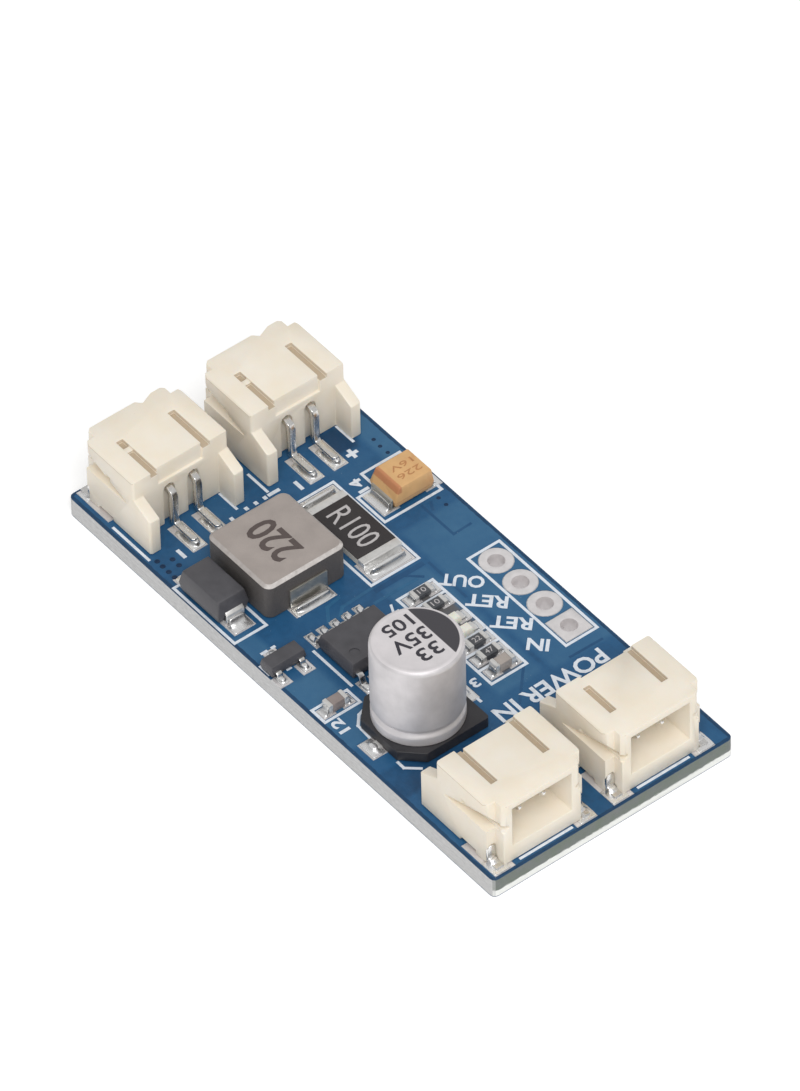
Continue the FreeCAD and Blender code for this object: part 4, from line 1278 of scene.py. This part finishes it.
@dataclass
class GullWingPart:
    """Moulded package with gull-wing leads on two sides."""

    name: str
    rows: dict[int, tuple[float, ...]]
    toe: float
    edge_round: float
    lead_round: float
    bead: Bead = Bead(back=0.75, ahead=0.3, side=0.31, height=0.2, keep=(0.7, 0.66), lean=-0.2)

    def build(self) -> None:
        """Builds the body, its leads and their solder."""
        leads = self.name + "_leads"
        SOFT.copy(self.name + "_body", FINISH.black_resin, "black_resin", self.edge_round, 3)
        SOFT.copy(leads, FINISH.tin, "tinned_terminal", self.lead_round)
        low, high = node_box(leads)
        middle = (low.y + high.y) / 2
        bead = replace(self.bead, ahead=self.toe)
        solder = SolderWork(self.name + "_solder")
        for side, offsets in self.rows.items():
            for offset in offsets:
                solder.lay(bead, low.x if side < 0 else high.x, side, (middle + offset, middle + offset))
        solder.finish()


@dataclass
class CanDrawing:
    """Drawn aluminium can with a curled foot, a bead and a slightly sunk top."""

    centre: Point = (8.35, -4.87)
    radius: float = 3.15
    seat: float = 2.5
    top: float = 9.3
    crown: float = 0.4
    bead_height: float = 1.05
    bead_half: float = 0.42
    bead_depth: float = 0.2
    curl: float = 0.1
    dish: float = 0.022
    rim: tuple[float, ...] = (2.72, 2.66)
    rings: tuple[float, ...] = (2.5, 1.6, 0.6)
    sides: int = 96

    def arc(self, height: float, radius: float, first: float, last: float, steps: int) -> list[Point]:
        """Gives points of a quarter bend of the can's wall.

        Args:
            height: the height of the bend's middle, in millimetres.
            radius: its radius.
            first: its first angle, in degrees.
            last: its last angle.
            steps: how many steps it has.

        Returns:
            Radius and height of each point.
        """
        points = []
        for step in range(steps + 1):
            angle = math.radians(first + (last - first) * step / steps)
            across, up = radius * math.cos(angle), radius * math.sin(angle)
            points.append((self.radius - radius + across, height + up))
        return points

    def profile(self) -> list[Point]:
        """Draws the can's half section.

        Returns:
            Radius and height of each point, from the curled foot to the middle of the top.
        """
        points = [(self.radius - 1.0, self.seat), (self.radius - self.curl, self.seat + 0.005)]
        points += self.arc(self.seat + self.curl, self.curl, -75.0, 0.0, 5)
        for step in range(17):
            share = -1.0 + step / 8
            dip = self.bead_depth * (0.5 + 0.5 * math.cos(math.pi * share))
            points.append((self.radius - dip, self.seat + self.bead_height + share * self.bead_half))
        points += self.arc(self.top - self.crown, self.crown, 0.0, 90.0, 8)
        floor = self.top - self.dish
        points += [(self.rim[0], self.top - 0.004), (self.rim[1], floor)]
        return points + [(radius, floor) for radius in self.rings]

    def build(self) -> None:
        """Builds the can."""
        can = lathe("electrolytic_can_drawn", self.centre, self.profile(), self.sides)
        smooth(can, 30.0)
        deliver(can, FINISH.can, "electrolytic_can")


@dataclass
class ChipParts:
    """Small two-ended chips: resistors, indicator lamps and ceramic capacitors."""

    bodies: dict[str, tuple[Finish, str, float]]
    body_round: float = 0.035
    cap_round: float = 0.04
    cap: float = 0.32
    bead: Bead = Bead(back=0.04, ahead=0.46, side=0.42, height=0.0, keep=(0.2, 0.84), lean=-0.95)

    def build(self) -> None:
        """Builds the chips' bodies, their plated ends and the solder at each end."""
        solder = SolderWork("chip_solder")
        for node, (finish, slot, height) in self.bodies.items():
            SOFT.copy(node, finish, slot, self.body_round)
            low, high = node_box(node)
            middle = (low.x + high.x) / 2
            for end, side in ((low.y - self.cap, -1), (high.y + self.cap, 1)):
                solder.lay(replace(self.bead, height=height), end, side, (middle, middle), True)
        SOFT.copy("chip_end_caps", FINISH.terminal, "tinned_terminal", self.cap_round)
        solder.finish()


@dataclass(frozen=True)
class Mark:
    """One printed word or number: text, middle, turn in degrees, height, width and thickening."""

    text: str
    centre: Point
    turn: float
    cap: float
    width: float
    weight: float = 0.0
    z: float = BOARD_TOP


@dataclass
class Lettering:
    """Generic words and numbers, printed as one piece in one ink."""

    name: str
    marks: Sequence[Mark]
    finish: Finish
    slot: str
    rise: float = 0.014
    cut: float = 0.02

    def label(self, mark: Mark) -> Piece:
        """Cuts one label from a text, at its height and width.

        Args:
            mark: what it says and where it lies.

        Returns:
            The flat label, without a finish.
        """
        deselect()
        bpy.ops.object.text_add(location=(0, 0, 0))
        text = bpy.context.object.data
        text.body = mark.text
        text.size = 1.0
        text.align_x = "CENTER"
        text.resolution_u = 3
        text.offset = mark.weight
        text.extrude = self.cut
        bpy.ops.object.convert(target="MESH")
        obj = bpy.context.object
        xs = [vertex.co.x for vertex in obj.data.vertices]
        ys = [vertex.co.y for vertex in obj.data.vertices]
        middle = Vector(((min(xs) + max(xs)) / 2, (min(ys) + max(ys)) / 2, 0.0))
        size = (mark.width / (max(xs) - min(xs)), mark.cap / (max(ys) - min(ys)), self.rise / self.cut / 2)
        obj.data.transform(Matrix.Translation(-middle))
        obj.scale = Vector(size) * MM
        obj.rotation_euler = (0, 0, math.radians(mark.turn))
        obj.location = (mark.centre[0] * MM, mark.centre[1] * MM, (mark.z + self.rise / 2) * MM)
        return settle(obj)

    def build(self) -> None:
        """Builds the labels as one piece."""
        deliver(join(self.name, [self.label(mark) for mark in self.marks]), self.finish)


@dataclass
class BoardPrinting:
    """White outlines, marks and labels printed on the solder mask."""

    line: float = 0.21
    stroke: float = 0.28
    rise: float = 0.016
    frames: tuple[tuple[float, float, float, float], ...] = (
        (-12.3, -3.2, 0.35, 4.35),
        (-11.3, -4.78, -9.82, -7.18),
        (3.18, 4.58, -9.65, -6.74),
        (-1.08, 8.79, 0.87, 3.82),
        (-1.05, 9.19, 6.8, 9.43),
    )
    runs: tuple[Run, ...] = (
        (
            (-7.2, 9.48), (-7.2, 4.68), (-10.1, 4.68), (-10.1, 6.25),
            (-11.68, 6.25), (-11.68, 9.48), (-7.2, 9.48),
        ),
        ((-2.05, -9.8), (-1.15, -9.8)),
        ((-2.92, -9.0), (-2.92, -8.65)),
        ((-2.92, -8.15), (-2.92, -8.0)),
        ((-0.74, -8.58), (-0.74, -8.36)),
        ((-0.9, -6.26), (3.05, -6.26)),
        ((5.26, -7.0), (5.42, -7.5), (6.16, -8.16), (7.42, -8.24)),
        ((10.37, -8.2), (11.0, -8.2), (11.74, -7.37)),
        ((8.27, -0.7), (9.51, -0.64)),
        ((22.0, -7.35), (22.0, -3.15)),
        ((22.0, 2.43), (22.0, 6.6)),
        ((-18.2, -9.5), (-14.4, -9.5)),
        ((-16.4, 0.42), (-14.4, 0.42)),
        ((-16.2, -2.13), (-14.45, -2.13)),
        ((-16.2, 7.72), (-14.45, 7.72)),
        ((0.26, 0.87), (0.26, 3.82)),
        ((4.47, 0.87), (4.47, 3.82)),
        ((5.89, 0.87), (5.89, 3.82)),
        ((7.37, 0.87), (7.37, 1.8)),
    )
    bold: tuple[Run, ...] = (
        ((-13.57, 6.64), (-13.57, 7.26)),
        ((-13.88, 6.95), (-13.26, 6.95)),
        ((-13.82, 2.38), (-13.18, 2.38)),
        ((-13.79, -7.5), (-13.15, -7.5)),
        ((-14.05, 0.35), (-14.05, 1.05)),
        ((-14.04, -0.05), (-14.0, -0.05)),
        ((-14.04, -0.82), (-14.0, -0.82)),
        ((-14.04, -1.62), (-14.0, -1.62)),
        ((-13.9, -2.95), (-13.86, -2.95)),
    )
    labels: tuple[Mark, ...] = (
        Mark("OUT", (0.25, 5.24), 225.0, 1.1, 3.0, 0.027),
        Mark("RET", (2.74, 5.35), 225.0, 1.1, 2.8, 0.027),
        Mark("RET", (5.3, 5.35), 225.0, 1.1, 2.8, 0.027),
        Mark("IN", (7.95, 5.45), 225.0, 1.1, 1.5, 0.027),
        Mark("POWER IN", (11.3, 3.8), 270.0, 1.4, 9.0, 0.022),
        Mark("12", (5.42, -9.1), 180.0, 0.85, 1.3, 0.03),
        Mark("14", (-10.95, 5.45), 180.0, 0.85, 1.35, 0.03),
        Mark("3", (8.0, 0.1), 270.0, 0.85, 0.6, 0.03),
        Mark("7", (-0.65, 0.1), 270.0, 0.85, 0.6, 0.03),
    )

    def frame_sheet(self, number: int, x0: float, x1: float, y0: float, y1: float) -> Piece:
        """Makes one printed rectangle outline as a flat sheet.

        Args:
            number: its place in the list, which sets its height a hair apart from the others.
            x0: lowest X of the line's middle, in millimetres.
            x1: highest X.
            y0: lowest Y.
            y1: highest Y.

        Returns:
            The flat frame.
        """
        middle = ((x0 + x1) / 2, (y0 + y1) / 2)
        obj = plane(x1 - x0 + self.line, y1 - y0 + self.line, middle, BOARD_TOP - HAIR * number)
        open_mesh(obj)
        bpy.ops.mesh.inset(thickness=self.line * MM, use_even_offset=True)
        bpy.ops.mesh.delete(type="FACE")
        close_mesh()
        return obj

    def build(self) -> None:
        """Builds the outlines as one piece and the labels as another."""
        sheets = [self.frame_sheet(number, *entry) for number, entry in enumerate(self.frames)]
        sheets += strips(self.runs, self.line, BOARD_TOP - 0.002)
        sheets += strips(self.bold, self.stroke, BOARD_TOP)
        outlines = join("printed_outlines", sheets)
        thicken(outlines, self.rise)
        deliver(outlines, FINISH.ink)
        Lettering("printed_labels", self.labels, FINISH.ink, "solder_mask").build()


@dataclass
class PartMarks:
    """Generic numbers printed on the parts."""

    inductor: tuple[Mark, ...] = (Mark("220", (-8.27, -3.75), 180.0, 2.3, 3.75, 0.02, 4.6),)
    sense_resistor: tuple[Mark, ...] = (Mark("R100", (-7.71, 2.49), 0.0, 1.79, 3.84, 0.0, 2.2),)
    can: tuple[Mark, ...] = (
        Mark("33", (9.68, -4.84), 270.0, 1.18, 1.77, 0.015, 9.278),
        Mark("35V", (8.16, -5.2), 270.0, 1.2, 2.87, 0.015, 9.278),
        Mark("105", (6.62, -5.05), 270.0, 1.1, 2.2, 0.015, 9.278),
    )
    tantalum: tuple[Mark, ...] = (
        Mark("226", (-8.33, 7.72), 270.0, 0.5, 1.9, 0.0, 3.5),
        Mark("16V", (-9.2, 7.7), 270.0, 0.5, 1.8, 0.0, 3.5),
    )
    chips: tuple[str, ...] = ("10", "10", "22", "47")
    chip_size: Point = (0.42, 0.6)

    def build(self) -> None:
        """Builds the marks of the inductor, the resistors and the two capacitors."""
        Lettering("inductor_mark", self.inductor, FINISH.dark_ink, "grey_composite").build()
        Lettering("sense_resistor_mark", self.sense_resistor, FINISH.pale_ink, "black_coat").build()
        Lettering("can_marks", self.can, FINISH.can_ink, "can_aluminium").build()
        Lettering("tantalum_marks", self.tantalum, FINISH.faint_ink, "orange_resin").build()
        marks = []
        for number, text in enumerate(self.chips, 1):
            low, high = node_box("chip_resistor_%d_body" % number)
            centre = ((low.x + high.x) / 2, (low.y + high.y) / 2)
            marks.append(Mark(text, centre, 90.0, *self.chip_size, z=high.z))
        Lettering("chip_marks", marks, FINISH.pale_ink, "chip_black").build()


@dataclass
class MaskRelief:
    """Gaps between the copper areas under the mask, raised traces and covered vias, whose dark colour is
    painted shade of their holes.
    """

    line: float = 0.2
    wide_line: float = 0.42
    trace: float = 0.24
    rise: float = 0.008
    gaps: tuple[Run, ...] = (
        ((-6.8, 7.5), (-3.45, 7.5), (-3.5, 8.95)),
        ((-6.7, 8.18), (-6.1, 7.85)),
        ((8.9, 3.45), (11.26, 1.24)),
        ((10.2, 9.0), (10.15, 6.4)),
        ((-2.4, 4.62), (1.5, 4.55)),
        ((-1.7, 3.5), (-2.45, 2.7)),
    )
    wide_gaps: tuple[Run, ...] = (((-2.65, 4.1), (-2.65, 0.4)),)
    traces: tuple[Run, ...] = (
        ((-1.8, 3.0), (-1.8, -0.4)),
        ((-3.0, 0.2), (-2.9, -2.3), (-2.35, -2.9)),
        ((-3.7, -2.0), (-3.5, -3.1), (-2.35, -3.9)),
    )
    small_via: float = 0.15
    large_via: float = 0.2
    small_vias: Run = ((-13.7, 8.88), (-12.93, 8.82), (-12.15, 8.85), (-6.7, 8.82), (-5.9, 8.82))
    large_vias: Run = (
        (-13.45, -8.25), (-12.75, -8.25), (-13.95, -9.15), (-13.35, -9.15), (-12.7, -9.15), (-12.05, -9.15)
    )
    via_profile: Run = ((1.0, 0.0), (0.86, 0.02), (0.6, 0.02), (0.4, 0.006), (0.1, 0.003))
    via_sides: int = 24

    def sheet(self, name: str, parts: list[Piece], finish: Finish) -> None:
        """Joins flat strips, gives them the film's height and delivers them.

        Args:
            name: the piece's name.
            parts: the strips.
            finish: the piece's finish.
        """
        piece = join(name, parts)
        thicken(piece, self.rise)
        deliver(piece, finish)

    def build(self) -> None:
        """Builds the gap lines, the traces and the vias."""
        gaps = strips(self.gaps, self.line, BOARD_TOP)
        gaps += strips(self.wide_gaps, self.wide_line, BOARD_TOP - 0.003)
        self.sheet("mask_gaps", gaps, FINISH.mask_gap)
        self.sheet("mask_traces", strips(self.traces, self.trace, BOARD_TOP), FINISH.mask_trace)
        profile = [(radius, BOARD_TOP + height) for radius, height in self.via_profile]
        model = lathe("vias", (0.0, 0.0), profile, self.via_sides)
        copies = []
        for radius, centres in ((self.small_via, self.small_vias), (self.large_via, self.large_vias)):
            for x, y in centres:
                via = linked("via", model.data.copy())
                move = Matrix.Translation((x * MM, y * MM, 0)) @ Matrix.Diagonal((radius, radius, 1.0, 1.0))
                via.data.transform(move)
                copies.append(via)
        bpy.data.objects.remove(model)
        vias = join("vias", copies)
        smooth(vias, 60.0)
        # the vias get painted shade of their holes
        deliver(vias, FINISH.via_hole_shade)


@dataclass
class Board:
    """The bare circuit board: laminate, mask films, pads and plated header holes."""

    eyelet_round: float = 0.02

    def build(self) -> None:
        """Dresses the board's nodes and softens its plated holes."""
        films = {"board_laminate": FINISH.laminate, "contact_pads": FINISH.land}
        films.update({"solder_mask_top": FINISH.mask, "solder_mask_bottom": FINISH.mask})
        for node, finish in films.items():
            dress(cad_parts[node], finish)
        for index in range(1, 5):
            SOFT.copy("header_eyelet_%d" % index, FINISH.land, "tinned_land", self.eyelet_round)
        log.info("board dressed")


@dataclass
class Studio:
    """Plain pale floor and soft light from the front right and above."""

    floor_colour: Colour = (0.86, 0.86, 0.86)
    lift: float = 0.32
    world_level: float = 0.58
    key_watts: float = 2.25
    key_size: float = 0.4
    key_place: tuple[float, float, float] = (0.33, -0.2, 0.53)

    def floor(self) -> None:
        """Builds the floor: a white diffuse plane that glows a little where it is seen."""
        deselect()
        bpy.ops.mesh.primitive_plane_add(size=4.0, location=(0, 0, 0))
        obj = bpy.context.object
        obj.name = "floor"
        material = bpy.data.materials.new("pale_floor")
        nodes = Nodes(material)
        path = nodes.node("LightPath", {}).outputs
        seen = nodes.maths("MAXIMUM", path["Is Camera Ray"], path["Is Glossy Ray"])
        seen = nodes.maths("MAXIMUM", seen, path["Is Transmission Ray"])
        plain = nodes.node("BsdfDiffuse", {"Color": self.floor_colour}).outputs[0]
        glow = nodes.node("Emission", {"Strength": self.lift}).outputs[0]
        lit = nodes.node("AddShader", {0: plain, 1: glow}).outputs[0]
        choice = nodes.node("MixShader", {0: seen, 1: plain, 2: lit}).outputs[0]
        nodes.node("OutputMaterial", {"Surface": choice})
        obj.data.materials.append(material)

    def world(self) -> None:
        """Builds the world: white where the camera sees it, a plain level as light."""
        world = bpy.data.worlds.new("studio")
        bpy.context.scene.world = world
        nodes = Nodes(world)
        white = (1.0, 1.0, 1.0)
        seen = nodes.node("LightPath", {}).outputs["Is Camera Ray"]
        light = nodes.node("Background", {"Color": white, "Strength": self.world_level}).outputs[0]
        backdrop = nodes.node("Background", {"Color": white}).outputs[0]
        choice = nodes.node("MixShader", {0: seen, 1: light, 2: backdrop}).outputs[0]
        nodes.node("OutputWorld", {"Surface": choice})

    def lamp(self) -> None:
        """Adds one square area lamp that looks at the board."""
        data = bpy.data.lights.new("key", "AREA")
        data.energy = self.key_watts
        data.size = self.key_size
        obj = linked("key", data)
        obj.location = self.key_place
        obj.rotation_mode = "QUATERNION"
        obj.rotation_quaternion = (-Vector(self.key_place)).to_track_quat("-Z", "Y")

    def build(self) -> None:
        """Builds the floor, the world and the lamp."""
        self.floor()
        self.world()
        self.lamp()
        log.info("studio built")


@dataclass
class PhotoCamera:
    """The camera at the photograph's viewing angle and distance."""

    lens: float = 395.97
    sensor: float = 36.0
    distance: float = 0.78877
    shift_up: float = 0.005703
    shift_right: float = 0.000142
    right: tuple[float, float, float] = (0.62256, 0.78234, -0.01894)
    up: tuple[float, float, float] = (-0.55369, 0.45745, 0.69582)
    back: tuple[float, float, float] = (0.55304, -0.4227, 0.71796)

    def build(self) -> None:
        """Makes the camera and hands it to the scene."""
        right, up, back = Vector(self.right), Vector(self.up), Vector(self.back)
        place = back * self.distance + up * self.shift_up + right * self.shift_right
        data = bpy.data.cameras.new("photo_camera")
        data.lens = self.lens
        data.sensor_width = self.sensor
        data.clip_start = 0.05
        data.clip_end = 20.0
        obj = linked("photo_camera", data)
        turn = Matrix((right, up, back)).transposed()
        obj.matrix_world = Matrix.Translation(place) @ turn.to_4x4()
        bpy.context.scene.camera = obj
        log.info("camera placed")


def parts_on_board() -> list[Union[Socket, StrapPart, GullWingPart, CanDrawing, ChipParts]]:
    """Lists the parts that stand on the board.

    Returns:
        The parts, in the order in which they are built.
    """
    row = (-2, -1, 0, 1, 2)
    black, lamp = (FINISH.chip_black, "chip_black", 0.36), (FINISH.lens, "lamp_resin", 0.24)
    chips = {"chip_resistor_%d_body" % index: black for index in (1, 2, 3, 4)}
    chips.update({"indicator_lamp_%d_body" % index: lamp for index in (1, 2)})
    chips["chip_capacitor_1_body"] = (FINISH.chip_pale, "chip_brown", 0.55)
    chips["chip_capacitor_2_body"] = (FINISH.chip_brown, "chip_brown", 0.55)
    return [
        Socket("input_socket_1", Facing.INPUT),
        Socket("input_socket_2", Facing.INPUT),
        Socket("output_socket_1", Facing.OUTPUT),
        Socket("output_socket_2", Facing.OUTPUT),
        Inductor(),
        SenseResistor(),
        TantalumCapacitor(),
        Diode(),
        GullWingPart("transistor", {-1: (0.0,), 1: (-0.95, 0.95)}, toe=0.3, edge_round=0.06, lead_round=0.035),
        GullWingPart("controller", {-1: row, 1: row}, toe=0.32, edge_round=0.07, lead_round=0.045),
        CanDrawing(),
        CanFoot(),
        ChipParts(chips),
    ]


def main() -> None:
    """Builds the whole scene."""
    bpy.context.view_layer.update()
    bpy.context.scene.view_settings.view_transform = "Standard"
    PhotoCamera().build()
    Board().build()
    MaskRelief().build()
    for part in parts_on_board():
        part.build()
    BoardPrinting().build()
    PartMarks().build()
    Studio().build()
    log.info("sizes written")


if __name__ == "__main__":
    main()
